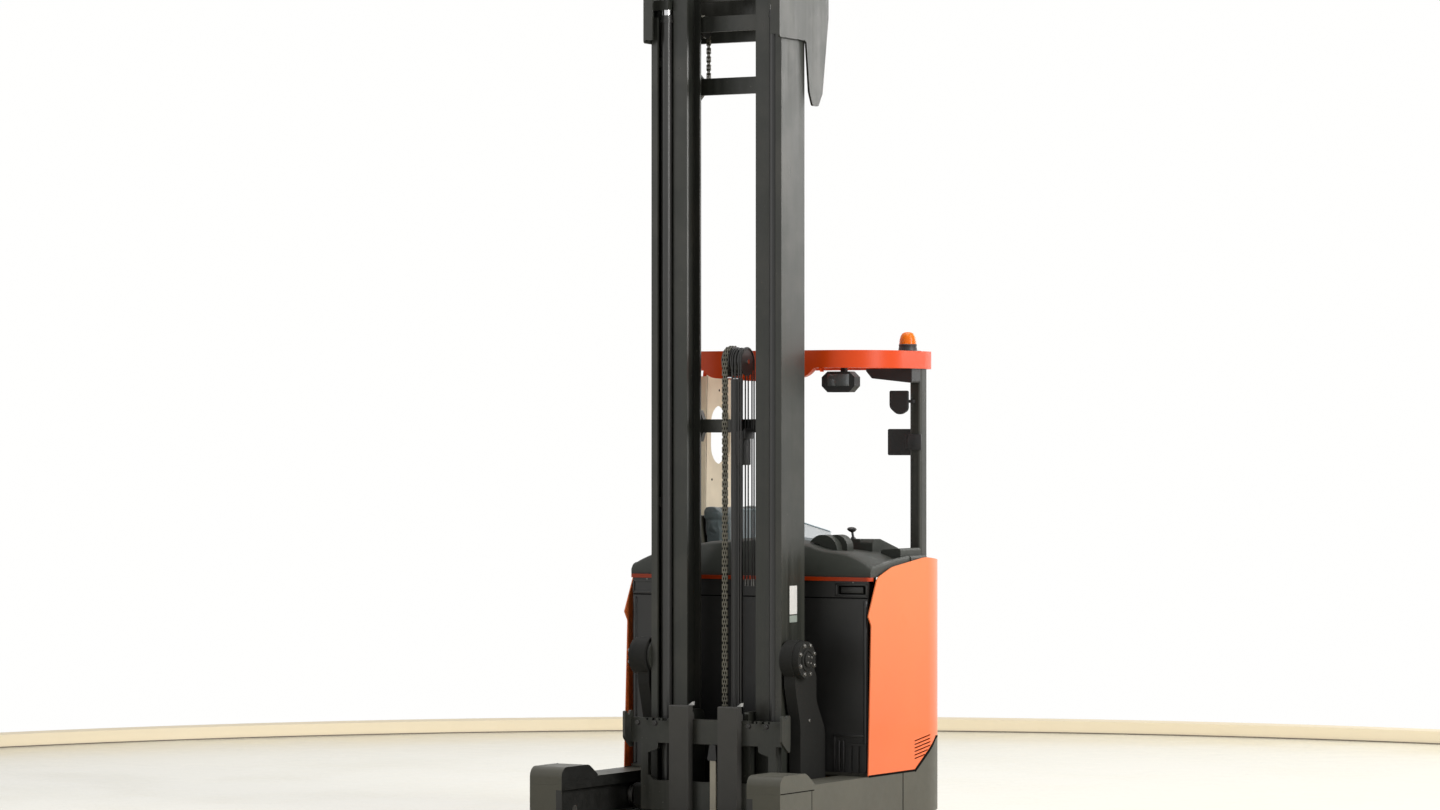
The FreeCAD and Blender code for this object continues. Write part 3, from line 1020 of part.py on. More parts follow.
def free_lift():
    """The free-lift ram with its yoke, the leaf chain and the hoses over their pulleys."""
    ram = new_body("free_lift_ram")
    spot = (s.free_x, s.free_y)
    disc(ram, "Z", (s.free_foot + 90, s.yoke_low + 1), spot, s.free_rod)
    near, far = s.chain_x - s.chain_width / 2, s.chain_x + s.chain_width / 2
    gap = s.cheek_gap
    block(ram, (near - gap - s.cheek_wall, far + gap + s.cheek_wall),
          (s.chain_y - 20, s.free_y + s.free_rod), (s.yoke_low, s.yoke_low + s.yoke_wall))
    for low, high in ((near - gap - s.cheek_wall, near - gap), (far + gap, far + gap + s.cheek_wall)):
        prism(ram, "X", (low, high),
              [(s.chain_y - 20, s.yoke_low), (s.free_y + s.free_rod, s.yoke_low),
               (s.chain_y + 20, s.free_top, 14), (s.chain_y - 20, s.free_top, 14)])
    disc(ram, "X", (near - gap - s.cheek_wall - 4, far + gap + s.cheek_wall),
         (s.chain_y, s.pulley_z), s.chain_pin)
    disc(ram, "X", (far + gap, s.hose_x + s.hose_pitch * s.hose_count + 6),
         (s.hose_y, s.pulley_z), s.hose_pin)
    keep("free_lift_ram", ram)
    edge, deep, turn = s.chain_width / 2, s.chain_depth / 2, s.chain_turn
    wheel = new_body("chain_pulley")
    left, right = s.chain_x - edge, s.chain_x + edge
    revolve(wheel, "X", (0, s.chain_y, s.pulley_z),
            [(left - 5, s.chain_pin + 0.3), (left - 5, turn + 3), (left - 0.6, turn + 3),
             (left - 0.6, turn - deep - 0.3), (right + 0.6, turn - deep - 0.3), (right + 0.6, turn + 3),
             (right + 5, turn + 3), (right + 5, s.chain_pin + 0.3)])
    reel = new_body("hose_pulley")
    first, pitch, bend = s.hose_x, s.hose_pitch, s.hose_turn
    last = first + pitch * (s.hose_count - 1)
    revolve(reel, "X", (0, s.hose_y, s.pulley_z),
            [(first - 10, s.hose_pin + 0.3), (first - 10, bend + 5), (first - 6, bend + 5),
             (first - 6, bend - s.hose_radius - 0.3), (last + 6, bend - s.hose_radius - 0.3),
             (last + 6, bend + 5), (last + 10, bend + 5), (last + 10, s.hose_pin + 0.3)])
    keep("mast_pulleys", together("mast_pulleys", [wheel, reel]))
    chain = new_body("lift_chain")
    span, wide = (left, right), (left - 1, right + 1)
    middle, top = s.chain_y, s.pulley_z
    disc(chain, "X", span, (middle, top), turn + deep)
    block(chain, span, (middle - turn - deep, middle + turn + deep), (s.chain_front_low, top))
    disc(chain, "X", wide, (middle, top), turn - deep, cut=True)
    block(chain, wide, (middle - turn + deep, middle + turn - deep), (s.chain_front_low - 1, top),
          cut=True)
    block(chain, wide, (middle + turn - deep - 1, middle + turn + deep + 1),
          (s.chain_front_low - 1, s.chain_rear_low), cut=True)
    keep("lift_chain", chain)
    hoses = []
    for index in range(int(float(s.hose_count))):
        x, y, z, r = first + pitch * index, s.hose_y, s.pulley_z, float(bend)
        ends = [(float(y) - r, float(s.hose_front_low)), (float(y) - r, float(z)), (float(y), float(z) + r),
                (float(y) + r, float(z)), (float(y) + r, float(s.hose_rear_low))]
        points = [FreeCAD.Vector(float(x), where, height) for where, height in ends]
        path = Part.Wire([Part.LineSegment(points[0], points[1]).toShape(),
                          Part.Arc(points[1], points[2], points[3]).toShape(),
                          Part.LineSegment(points[3], points[4]).toShape()])
        ring = Part.Circle(points[0], FreeCAD.Vector(0, 0, 1), float(s.hose_radius)).toShape()
        hose = doc.addObject("Part::Feature", "hose_{}".format(index))
        hose.Shape = path.makePipeShell([Part.Wire(ring)], True, True)
        hoses.append(hose)
    keep("mast_hoses", together("mast_hoses", hoses))


def lift_carriage():
    """The lift carriage: two crossbars, side plates and rollers that run in the inner mast."""
    half = new_body("lift_carriage_half")
    front, rear, wide = s.frame_front, s.frame_rear, s.frame_half
    block(half, (0, wide), (front, rear), (s.bar_low + 30, s.bar_high - 20))
    block(half, (0, wide), (front, rear), (s.lower_bar_low + 4, s.lower_bar_high - 60))
    block(half, (s.carriage_plate_in - 26, s.carriage_plate_in + 50), (front, rear),
          (s.lower_bar_high - 60, s.bar_low + 30))
    prism(half, "X", (s.carriage_plate_in, s.carriage_plate_out),
          [(rear, s.carriage_low, 12), (s.carriage_plate_rear, s.carriage_low, 30),
           (s.carriage_plate_rear, s.carriage_plate_top, 40), (rear, s.carriage_plate_top, 12)])
    channel = (s.inner_front + s.rail_wall, s.inner_rear - s.rail_wall)
    radius = (channel[1] - channel[0]) / 2 - s.running_gap
    for height in (s.carriage_roller_low, s.carriage_roller_high):
        revolve(half, "X", (0, (channel[0] + channel[1]) / 2, height),
                [(s.carriage_plate_out - 1, 0.01), (s.carriage_plate_out - 1, 22),
                 (s.carriage_plate_out + 5, 22), (s.carriage_plate_out + 5, radius),
                 (s.carriage_roller_out, radius, 2), (s.carriage_roller_out, 0.01)])
    frame = pair("lift_carriage_frame", half, fuse=True)
    del parts["lift_carriage_frame"]
    ears = new_body("chain_anchor")
    edge = s.chain_width / 2 + 4
    for low, high in ((s.chain_x - edge - 10, s.chain_x - edge), (s.chain_x + edge, s.chain_x + edge + 10)):
        block(ears, (low, high), (rear - 1, s.chain_y - s.chain_turn + 16),
              (s.bar_low + 36, s.bar_high - 26))
    keep("lift_carriage", joined("lift_carriage", [frame, ears]))


def side_shift():
    """The side-shifting fork carrier: notched top bar, windows, lower beam and end plates."""
    half = new_body("side_shift_half")
    depth = (s.shift_front, s.shift_rear)
    block(half, (0, s.end_plate_in), depth, (s.bar_low, s.bar_high))
    block(half, (s.upright_in, s.upright_out), depth, (s.lower_bar_low, s.bar_low))
    prism(half, "Y", depth,
          [(s.flange_in, s.bar_low), (s.flange_in, s.bar_low - 28, 12), (s.upright_in, s.bar_low - 44, 16),
           (s.upright_in + 2, s.bar_low - 44), (s.upright_in + 2, s.bar_low)])
    prism(half, "Y", depth,
          [(0, s.lower_bar_low), (s.upright_out, s.lower_bar_low, 12), (s.upright_out, s.lower_bar_high),
           (s.upright_in, s.lower_bar_high + 30, 20), (s.upright_in - 30, s.lower_bar_high, 20),
           (0, s.lower_bar_high)])
    for start, end in ((210, 236), (270, 289)):
        prism(half, "Y", (s.shift_front - 1, s.shift_rear + 1),
              [(start, s.bar_high - 12, 4), (end, s.bar_high - 12, 4), (end, s.bar_high + 1),
               (start, s.bar_high + 1)], cut=True)
    for low, high in ((s.bar_low + 42, s.bar_low + 76), (s.lower_bar_low + 12, s.lower_bar_low + 62)):
        block(half, (100, 180), (s.shift_rear, s.frame_front - s.running_gap), (low, high))
    plate_front, plate_rear = s.end_plate_front, s.end_plate_rear
    prism(half, "X", (s.end_plate_in, s.end_plate_out),
          [(plate_front, s.bar_low + 20, 20), (s.shift_front + 4, s.end_plate_low, 8),
           (s.shift_rear - 6, s.end_plate_low, 8), (plate_rear, s.bar_low + 20, 10),
           (plate_rear, s.end_plate_high, 10), (plate_rear - 24, s.end_plate_high, 8),
           (plate_rear - 34, 552, 6), (plate_front + 26, 552, 6), (plate_front + 18, s.end_plate_high, 8),
           (plate_front, s.end_plate_high, 8)])
    pair("side_shift_frame", half, fuse=True)
    strip = new_body("guide_strip")
    edge = s.strip_width / 2
    front = s.shift_front - s.strip_wall
    block(strip, (s.strip_x - edge, s.strip_x + edge), (front, s.shift_front), (s.strip_low, s.strip_high))
    keep("guide_strip", strip)
    bundle = new_body("cable_bundle")
    prism(bundle, "Y", (front - 6, s.shift_front),
          [(s.strip_x - 26, s.strip_high, 8), (s.strip_x + 22, s.strip_high, 8),
           (s.strip_x + 16, s.bar_low, 8), (s.strip_x - 14, s.bar_low, 8)])
    keep("cable_bundle", bundle)


def forks():
    """The two hook-on forks with tapered blades."""
    fork = new_body("fork_right")
    face, back = s.fork_face, s.fork_face + s.fork_wall
    low, top, tip = s.fork_low, s.shank_top, -s.fork_tip
    thick = s.fork_wall
    span = (s.fork_x - s.fork_width / 2, s.fork_x + s.fork_width / 2)
    prism(fork, "X", span,
          [(back, low, s.heel_radius), (back, top, 6), (face, top, 6), (face, low + thick, 14),
           (tip + s.fork_taper, low + thick, 900), (tip, low + s.fork_tip_wall, 4), (tip, low, 4)])
    prism(fork, "X", (span[0] + 10, span[1] - 10),
          [(back - 1, s.bar_high + 0.3), (s.shift_rear + 0, s.bar_high + 0.3),
           (s.shift_rear + 0, s.bar_high + 30, 8), (back - 1, s.bar_high + 38)])
    prism(fork, "X", (span[0] + 10, span[1] - 10),
          [(back - 1, s.lower_bar_low - 34), (s.shift_rear, s.lower_bar_low - 30, 6),
           (s.shift_rear, s.lower_bar_low - 0.3), (back - 1, s.lower_bar_low - 0.3)])
    inset = s.fork_width * 0.32
    for edge, turn in ((span[0], 1), (span[1], -1)):
        prism(fork, "Z", (low - 1, low + thick + 1),
              [(edge, tip - 2), (edge, tip + 120), (edge + turn * inset * 0.3, tip + 40),
               (edge + turn * inset, tip), (edge + turn * inset, tip - 2)], cut=True)
    keep("fork_right", fork)
    keep("fork_left", mirrored("fork_left", fork))


def check_and_write():
    """Stops on any failed object, then writes one STEP file for each sub-part."""
    doc.recompute()
    failed = [item.Name for item in doc.Objects
              if "Invalid" in item.State or "Error" in item.State]
    if failed:
        raise RuntimeError("failed objects: " + ", ".join(failed))
    for label, item in parts.items():
        if item.Shape.isNull() or not item.Shape.isValid() or not item.Shape.Solids:
            raise RuntimeError("no sound solid in " + label)
    os.makedirs("parts", exist_ok=True)
    for label, item in parts.items():
        shape = item.Shape
        solids = shape.Solids
        whole = solids[0] if len(solids) == 1 else Part.makeCompound(solids)
        whole.exportStep(os.path.join("parts", label + ".step"))
        box = whole.optimalBoundingBox()
        print("{:22s} {} solids  X {:.1f} {:.1f}  Y {:.1f} {:.1f}  Z {:.1f} {:.1f}".format(
            label, len(solids), box.XMin, box.XMax, box.YMin, box.YMax, box.ZMin, box.ZMax))


for build in (support_arm, arm_cover, load_wheels, skirt, chassis, floor_and_pedals, battery,
              side_panels, cowl, console, seat, rear_housing, guard, guard_fittings, drive_unit,
              reach_carriage, outer_mast, intermediate_mast, inner_mast, free_lift, lift_carriage,
              side_shift, forks):
    build()
check_and_write()
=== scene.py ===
"""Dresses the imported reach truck: finishes for every part, and the fine pieces the frame leaves out."""
import json
import math

import bmesh
import bpy
from mathutils import Matrix, Vector


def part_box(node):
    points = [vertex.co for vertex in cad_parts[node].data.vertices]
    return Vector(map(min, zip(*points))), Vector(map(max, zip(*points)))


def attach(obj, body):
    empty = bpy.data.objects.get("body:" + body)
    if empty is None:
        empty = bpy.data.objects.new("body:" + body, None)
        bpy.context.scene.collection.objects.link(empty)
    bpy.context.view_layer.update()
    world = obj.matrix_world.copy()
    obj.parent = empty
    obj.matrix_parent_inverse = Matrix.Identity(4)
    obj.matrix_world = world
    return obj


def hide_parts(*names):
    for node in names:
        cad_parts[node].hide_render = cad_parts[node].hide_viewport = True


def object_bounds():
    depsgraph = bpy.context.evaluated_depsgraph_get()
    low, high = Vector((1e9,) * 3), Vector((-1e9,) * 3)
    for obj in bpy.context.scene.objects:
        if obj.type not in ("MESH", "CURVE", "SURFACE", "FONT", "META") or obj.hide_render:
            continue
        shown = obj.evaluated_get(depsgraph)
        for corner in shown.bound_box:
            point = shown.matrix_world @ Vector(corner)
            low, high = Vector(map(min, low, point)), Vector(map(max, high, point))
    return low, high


bl_info = {
    "name": "Reach truck dressing",
    "version": (1, 0, 0),
    "blender": (4, 5, 0),
    "location": "3D View > Sidebar > Reach truck",
    "description": "Finishes and fine pieces for a reach truck on its packed frame",
    "category": "Object",
}

SIDES = (-1, 1)
ARM_INNER_X = 0.4695        # half width between the support arms
PULLEY_STEPS = 16           # straight bits of a chain over its pulley

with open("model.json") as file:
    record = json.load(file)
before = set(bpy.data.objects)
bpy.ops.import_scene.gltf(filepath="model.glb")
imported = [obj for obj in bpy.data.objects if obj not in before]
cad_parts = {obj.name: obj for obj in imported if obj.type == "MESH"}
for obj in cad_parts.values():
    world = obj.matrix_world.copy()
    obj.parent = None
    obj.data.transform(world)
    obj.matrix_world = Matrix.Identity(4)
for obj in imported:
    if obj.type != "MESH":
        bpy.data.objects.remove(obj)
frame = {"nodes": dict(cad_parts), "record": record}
cad_low, cad_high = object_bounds()
nodes = frame["nodes"]
joints = {joint["name"]: joint for joint in frame["record"]["behaviour"]["joints"]}
tilt_pivot = Vector(joints["mast_tilt"]["pos_m"])

# ---------------- node trees
def feed(tree, slot, item):
    """Links a wire to an input, or sets the input's value."""
    if isinstance(item, Wire):
        tree.links.new(item.socket, slot)
    else:
        slot.default_value = item

class Wire:
    """A node's output; arithmetic on it adds the Math node that works out the result."""

    def __init__(self, tree, socket):
        self.tree = tree
        self.socket = socket

    def math(self, operation, other, swap=False):
        node = self.tree.nodes.new("ShaderNodeMath")
        node.operation = operation
        for slot, item in zip(node.inputs, (other, self) if swap else (self, other)):
            feed(self.tree, slot, item)
        return Wire(self.tree, node.outputs[0])

    def __add__(self, other):
        return self.math("ADD", other)

    __radd__ = __add__

    def __sub__(self, other):
        return self.math("SUBTRACT", other)

    def __rsub__(self, other):
        return self.math("SUBTRACT", other, swap=True)

    def __mul__(self, other):
        return self.math("MULTIPLY", other)

    __rmul__ = __mul__

    def __gt__(self, other):
        return self.math("GREATER_THAN", other)

    def __lt__(self, other):
        return self.math("LESS_THAN", other)

    def squared(self):
        return self * self

    def clamp(self):
        wire = self.math("ADD", 0.0)
        wire.socket.node.use_clamp = True
        return wire

class Graph:
    """A node tree under construction."""

    def __init__(self, tree):
        self.tree = tree

    def node(self, kind, settings=None, output=0, **inputs):
        """Adds one node: its settings, then its inputs by name, or by number as i0, i1 and so on."""
        node = self.tree.nodes.new(kind)
        for key, item in (settings or {}).items():
            setattr(node, key, item)
        for key, item in inputs.items():
            feed(self.tree, node.inputs[int(key[1:]) if key[1:].isdigit() else key.replace("_", " ")], item)
        return Wire(self.tree, node.outputs[output])

class Finish(Graph):
    """A material under construction, on the object's own coordinates."""

    def __init__(self, name):
        self.material = bpy.data.materials.new(name)
        self.material.use_nodes = True
        super().__init__(self.material.node_tree)
        self.shader = self.tree.nodes["Principled BSDF"]
        self.place = self.node("ShaderNodeTexCoord", output="Object")

    def axis(self, name):
        """One coordinate of the surface point, in metres."""
        return self.node("ShaderNodeSeparateXYZ", output=name, Vector=self.place)

    def mapped(self, **inputs):
        """The object coordinates turned, or scaled unevenly for grain that runs one way."""
        return self.node("ShaderNodeMapping", Vector=self.place, **inputs)

    def noise(self, scale, detail=4.0, roughness=0.55, vector=None):
        return self.node("ShaderNodeTexNoise", Vector=vector or self.place, Scale=scale, Detail=detail,
                         Roughness=roughness)

    def ramp(self, value, low, high):
        """Runs from 0 to 1 while a value goes from low to high."""
        wire = self.node("ShaderNodeValToRGB", Fac=value)
        for tone, position in enumerate((low, high)):
            stop = wire.socket.node.color_ramp.elements[tone]
            stop.position = position
            stop.color = (tone, tone, tone, 1)
        return wire

    def patches(self, low, high, *noise):
        """Patches of noise with soft edges."""
        return self.ramp(self.noise(*noise), low, high)

    def bands(self, direction, scale, distortion, vector):
        return self.node("ShaderNodeTexWave", {"wave_type": "BANDS", "bands_direction": direction},
                         Vector=vector, Scale=scale, Distortion=distortion)

    def blend(self, factor, first, second):
        """A mix of two colours."""
        return self.node("ShaderNodeMix", {"data_type": "RGBA"}, output=2, i0=factor,
                         i6=as_colour(first), i7=as_colour(second))

    def bump(self, height, distance, strength):
        self.put(Normal=self.node("ShaderNodeBump", Height=height, Distance=distance, Strength=strength))

    def put(self, **inputs):
        """Sets or links the main shader's inputs; an underscore stands for a space."""
        for key, item in inputs.items():
            feed(self.tree, self.shader.inputs[key.replace("_", " ")], as_colour(item))

def as_colour(item):
    """A four-part colour from a three-part one; anything else is left alone."""
    return (*item, 1.0) if isinstance(item, tuple) and len(item) == 3 else item

def shade(colour, factor):
    """A colour made lighter or darker."""
    return tuple(min(1.0, part * factor) for part in colour)

# ---------------- finishes
def sprayed(f, colour, rough, dust, scuffs, coat=0.0, inner=0.0):
    """Sprayed machine paint: cloudy tone, dust low down, pale scuffs, and near-black painted shade inside an
    inner half width and in a groove low down beside it.
    """
    base = f.blend(f.patches(0.32, 0.68, 3.1, 6.0), shade(colour, 0.88), shade(colour, 1.10))
    dust_fall, pocket_foot, pocket_top, pocket_width = 1.6, 0.1165, 0.2385, 1.062
    low = (1.0 - f.axis("Z") * dust_fall).clamp() * f.patches(0.35, 0.75, 14.0, 8.0)
    dusty = f.blend(low * dust, base, (0.42, 0.39, 0.34))
    streak = f.patches(0.66, 0.69, 9.0, 9.0, 0.7, f.mapped(Scale=(1.0, 1.0, 0.22)))
    marks = streak * f.patches(0.60, 0.66, 120.0) * scuffs
    up, reach = f.axis("Z"), f.axis("X").squared()
    # painted shade: the faces inside the inner half width, and the groove low down just outside it, are made
    # near black
    pocket = (reach < (inner * pocket_width) ** 2) * (up > pocket_foot) * (up < pocket_top)
    inner_shade = ((reach < inner ** 2) + pocket).clamp()
    f.put(Base_Color=f.blend(inner_shade, f.blend(marks, dusty, shade(colour, 2.2)), (0.007, 0.007, 0.006)),
          Roughness=(f.noise(26.0, 5.0) * 0.16 + (rough - 0.08) + low * 0.25).clamp(),
          Coat_Weight=coat, Coat_Roughness=0.12)
    f.bump(f.noise(420.0, 2.0) * 0.6 + marks * -1.0, 0.0004, 0.35)

def glossed(f, colour, deep):
    """Smooth gloss paint, deeper and redder on the guard and on the narrow lip; the lip and the lower panels
    also get painted shade.
    """
    lip_foot, lip_top, lip_back, lip_half_squared = 1.1545, 1.1725, 0.348, 0.387
    guard_foot, panel_top = 2.0, 1.22
    height = f.axis("Z")
    lip = ((height > lip_foot) * (height < lip_top) * (f.axis("Y") < lip_back)
           * (f.axis("X").squared() < lip_half_squared))
    far = ((height > guard_foot) + lip).clamp()
    # painted shade: the panels turn darker and redder towards the bottom
    lower_shade = ((panel_top - height) * 0.95).clamp()
    bright = f.blend(f.patches(0.30, 0.70, 1.7, 5.0),
                     f.blend(lower_shade, shade(colour, 0.96), (0.82, 0.120, 0.018)),
                     f.blend(lower_shade, shade(colour, 1.04), (0.88, 0.140, 0.024)))
    rubbed = f.patches(0.60, 0.80, 7.0, 8.0, 0.65)
    # painted shade: the narrow lip takes its deep orange darkened to about half
    f.put(Base_Color=f.blend(far, f.blend(rubbed * 0.25, bright, shade(colour, 0.86)),
                             f.blend(lip, deep, shade(deep, 0.55))),
          Roughness=(f.noise(14.0, 5.0) * 0.10 + rubbed * 0.10 + 0.27).clamp(),
          Coat_Weight=(1.0 - far) * 0.2, Coat_Roughness=0.10, Specular_IOR_Level=0.35)
    f.bump(f.noise(380.0, 2.0), 0.0003, 0.25)

def rolled(f, colour, rough):
    """Painted rolled section: long vertical streaks, worn grease, and near-black painted shade round the tilt
    pivots.
    """
    hub_radius_squared, hub_inner_squared = 0.0105, 0.1129
    along = f.mapped(Scale=(1.0, 1.0, 0.035))
    streak = f.patches(0.38, 0.72, 34.0, 7.0, 0.6, along)
    blotch = f.patches(0.45, 0.75, 4.2, 7.0)
    greasy = f.blend(blotch * 0.35, f.blend(streak, shade(colour, 0.80), shade(colour, 1.22)),
                     (0.075, 0.068, 0.055))
    nick = f.patches(0.70, 0.74, 60.0, 6.0)
    # painted shade: the outer faces round the tilt pivots are made near black
    away = (f.axis("Y") - tilt_pivot.y).squared() + (f.axis("Z") - tilt_pivot.z).squared()
    hub = (away < hub_radius_squared) * (f.axis("X").squared() > hub_inner_squared)
    f.put(Base_Color=f.blend(hub, f.blend(nick * 0.4, greasy, (0.22, 0.21, 0.19)), (0.012, 0.012, 0.011)),
          Roughness=(streak * 0.18 + (rough - 0.05) + blotch * -0.12 + hub * 0.3).clamp(), Metallic=0.15)
    f.bump(f.noise(260.0, 3.0, 0.6, along) + nick * -0.8, 0.0005, 0.3)

def moulded(f, colour, rough, grain=900.0):
    """Moulded plastic with a fine leather-like grain."""
    cells = f.node("ShaderNodeTexVoronoi", {"feature": "SMOOTH_F1"}, Vector=f.place, Scale=grain)
    rubbed = f.patches(0.58, 0.72, 11.0, 7.0)
    f.put(Base_Color=f.blend(f.patches(0.3, 0.7, 5.0, 5.0), shade(colour, 0.9), shade(colour, 1.12)),
          Roughness=(rough + rubbed * -0.12 + cells * 0.08).clamp())
    f.bump(cells, 0.0003, 0.45)

def turned(f, colour, rough):
    """Bare machined steel with fine rings of tone and an oily film."""
    fine = f.noise(700.0, 2.0, 0.5, f.mapped(Scale=(6.0, 1.0, 1.0)))
    film = f.patches(0.4, 0.7, 18.0, 6.0)
    f.put(Base_Color=f.blend(film, colour, shade(colour, 0.62)),
          Roughness=(fine * 0.12 + film * 0.14 + (rough - 0.1)).clamp(), Metallic=1.0)
    f.bump(fine, 0.0002, 0.25)

def ground_chrome(f):
    """Ground chrome rod with a faint oil film."""
    film = f.patches(0.45, 0.8, 7.0, 5.0, 0.6, f.mapped(Scale=(1.0, 1.0, 0.2)))
    f.put(Base_Color=f.blend(film, (0.62, 0.62, 0.63), (0.46, 0.45, 0.42)),
          Roughness=film * 0.15 + 0.1, Metallic=1.0)

def greased_chain(f):
    """Leaf chain plates: dark greased steel, brighter where the plates rub."""
    grease = f.patches(0.35, 0.7, 40.0)
    f.put(Base_Color=f.blend(grease, (0.20, 0.19, 0.155), (0.14, 0.132, 0.105)),
          Roughness=(grease * 0.1 + 0.50).clamp(), Metallic=0.1)
    f.bump(f.noise(300.0), 0.0002, 0.2)

def scuffed_fork(f):
    """Black forged fork with its paint worn to steel along the blade."""
    forward = (f.axis("Y") * -1.1 - 0.15).clamp()
    grain = f.noise(24.0, 9.0, 0.7, f.mapped(Scale=(1.0, 0.12, 1.0)))
    worn = f.ramp(grain + forward * 0.16, 0.56, 0.70) * (1.0 - f.axis("Z") * 7.0).clamp()
    black = f.blend(f.noise(6.0, 5.0), (0.032, 0.031, 0.029), (0.055, 0.053, 0.048))
    f.put(Base_Color=f.blend(worn, black, (0.20, 0.19, 0.175)),
          Roughness=(worn * -0.1 + 0.5 + f.noise(50.0) * 0.08).clamp(), Metallic=worn * 0.7)
    f.bump(f.noise(160.0, 5.0), 0.0006, 0.35)

def tread(f, colour, rough):
    """Cast wheel tread with picked-up grit."""
    grit = f.patches(0.52, 0.64, 180.0, 6.0)
    f.put(Base_Color=f.blend(grit * 0.55, colour, shade(colour, 0.35)),
          Roughness=(rough + grit * 0.2).clamp())
    f.bump(f.noise(240.0), 0.0005, 0.5)

def hose_rubber(f):
    """Smooth black hose rubber."""
    f.put(Base_Color=f.blend(f.noise(40.0), (0.012, 0.012, 0.012), (0.028, 0.027, 0.026)), Roughness=0.48)
    f.bump(f.noise(900.0, 2.0), 0.0002, 0.3)

def woven(f, colour):
    """Seat cloth: a crossed weave with a slight sheen."""
    turned_place = f.mapped(Rotation=(0.6, 0.6, 0.6))
    weave = (f.bands("DIAGONAL", 260.0, 1.5, f.place) + f.bands("Z", 260.0, 1.5, turned_place)) * 0.5
    f.put(Base_Color=f.blend(weave * 0.8 + f.noise(9.0) * 0.2, shade(colour, 0.62), shade(colour, 1.3)),
          Roughness=0.88, Sheen_Weight=0.35, Sheen_Roughness=0.5)
    f.bump(weave + f.noise(30.0) * 0.3, 0.0006, 0.6)

def clear_sheet(f):
    """Clear polycarbonate with a pale blue body."""
    f.put(Base_Color=(0.80, 0.91, 0.97), Roughness=0.04, IOR=1.45, Alpha=0.32, Specular_IOR_Level=0.6)

def amber_lens(f):
    """Amber beacon dome, ribbed inside."""
    ribs = f.bands("Z", 60.0, 0.0, f.place)
    f.put(Base_Color=f.blend(ribs, (0.74, 0.13, 0.002), (0.92, 0.21, 0.004)), Roughness=0.2,
          Emission_Color=(1.0, 0.24, 0.0), Emission_Strength=0.05, Specular_IOR_Level=0.25)
    f.bump(ribs, 0.0006, 0.5)

def plain(f, colour, rough, metallic=0.0, shine=0.5):
    """A small fitting's finish with slight tone and roughness variation."""
    f.put(Base_Color=f.blend(f.noise(30.0, 5.0), shade(colour, 0.85), shade(colour, 1.12)),
          Roughness=(f.noise(80.0, 3.0) * 0.14 + (rough - 0.07)).clamp(), Metallic=metallic,
          Specular_IOR_Level=shine)
    f.bump(f.noise(500.0, 2.0), 0.0002, 0.3)

FINISHES = {
    "arm_paint": (sprayed, "arm_colour", 0.46, 0.06, 0.06, 0.0, ARM_INNER_X),
    "chassis_paint": (sprayed, "chassis_colour", 0.50, 0.06, 0.06),
    "orange_paint": (glossed, "orange_colour", "deep_colour"),
    "mast_paint": (rolled, "mast_colour", 0.40),
    "cylinder_paint": (sprayed, (0.024, 0.024, 0.023), 0.34, 0.04, 0.1, 0.1),
    "rod_chrome": (ground_chrome,),
    "steel": (turned, (0.36, 0.35, 0.33), 0.38),
    "chain_steel": (greased_chain,),
    "fork_steel": (scuffed_fork,),
    "cover_black": (sprayed, (0.013, 0.013, 0.013), 0.40, 0.04, 0.05),
    "cowl_plastic": (moulded, "cowl_colour", 0.55),
    "black_plastic": (moulded, (0.020, 0.020, 0.021), 0.45, 1200.0),
    "seat_cloth": (woven, "seat_colour"),
    "wheel_tread": (tread, (0.36, 0.16, 0.045), 0.42),
    "drive_tread": (tread, (0.022, 0.022, 0.021), 0.72),
    "hose_rubber": (hose_rubber,),
    "cream_strip": (sprayed, (0.62, 0.57, 0.47), 0.35, 0.2, 0.0),
    "clear_panel": (clear_sheet,),
    "beacon_amber": (amber_lens,),
    "red_button": (plain, (0.62, 0.02, 0.012), 0.30),
    "bolt_zinc": (plain, (0.20, 0.195, 0.185), 0.38, 0.9),
    "black_bolt": (plain, (0.035, 0.034, 0.033), 0.42, 0.5),
    "beige_lining": (moulded, (0.70, 0.62, 0.47), 0.6, 700.0),
    # worn steel latches, made pale as a painted glint
    "plate_silver": (plain, (0.60, 0.60, 0.59), 0.35, 0.2),
    "mirror_glass": (plain, (0.78, 0.79, 0.80), 0.07, 1.0),
    "lamp_lens": (plain, (0.16, 0.17, 0.18), 0.12, 0.3),
    "screen": (plain, (0.012, 0.014, 0.018), 0.10),
    "label_white": (plain, (0.72, 0.71, 0.70), 0.40),
    "label_grey": (plain, (0.30, 0.34, 0.31), 0.40),
    "seam_grey": (plain, (0.16, 0.14, 0.12), 0.6),
    # painted reflection: the pale edge of the clear shield
    "shield_edge": (plain, (0.55, 0.68, 0.75), 0.25),
    "matt_black": (plain, (0.011, 0.011, 0.010), 0.72, 0.0, 0.25),
    # painted shade: the dark inside seams, slots, holes and recesses
    "dark_gap": (plain, (0.004, 0.004, 0.004), 0.8, 0.0, 0.03),
}
made_finishes = {}

def finish(name):
    """The named finish, made once; a word among its values is a colour of the settings."""
    if name not in made_finishes:
        paint, *values = FINISHES[name]
        colours = bpy.context.scene.truck_colours
        f = Finish(name)
        paint(f, *[tuple(getattr(colours, item)) if isinstance(item, str) else item for item in values])
        made_finishes[name] = f.material
    return made_finishes[name]

# ---------------- mesh helpers
def put_down(name, data):
    """Puts an object in the scene."""
    item = bpy.data.objects.new(name, data)
    bpy.context.scene.collection.objects.link(item)
    return item

def add_piece(name, mesh, body, slot, hide=()):
    """Puts a mesh in the scene as one piece that rides on a body."""
    piece = put_down(name, mesh)
    if not mesh.materials:
        mesh.materials.append(finish(slot))
    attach(piece, body)
    if hide:
        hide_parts(*hide)

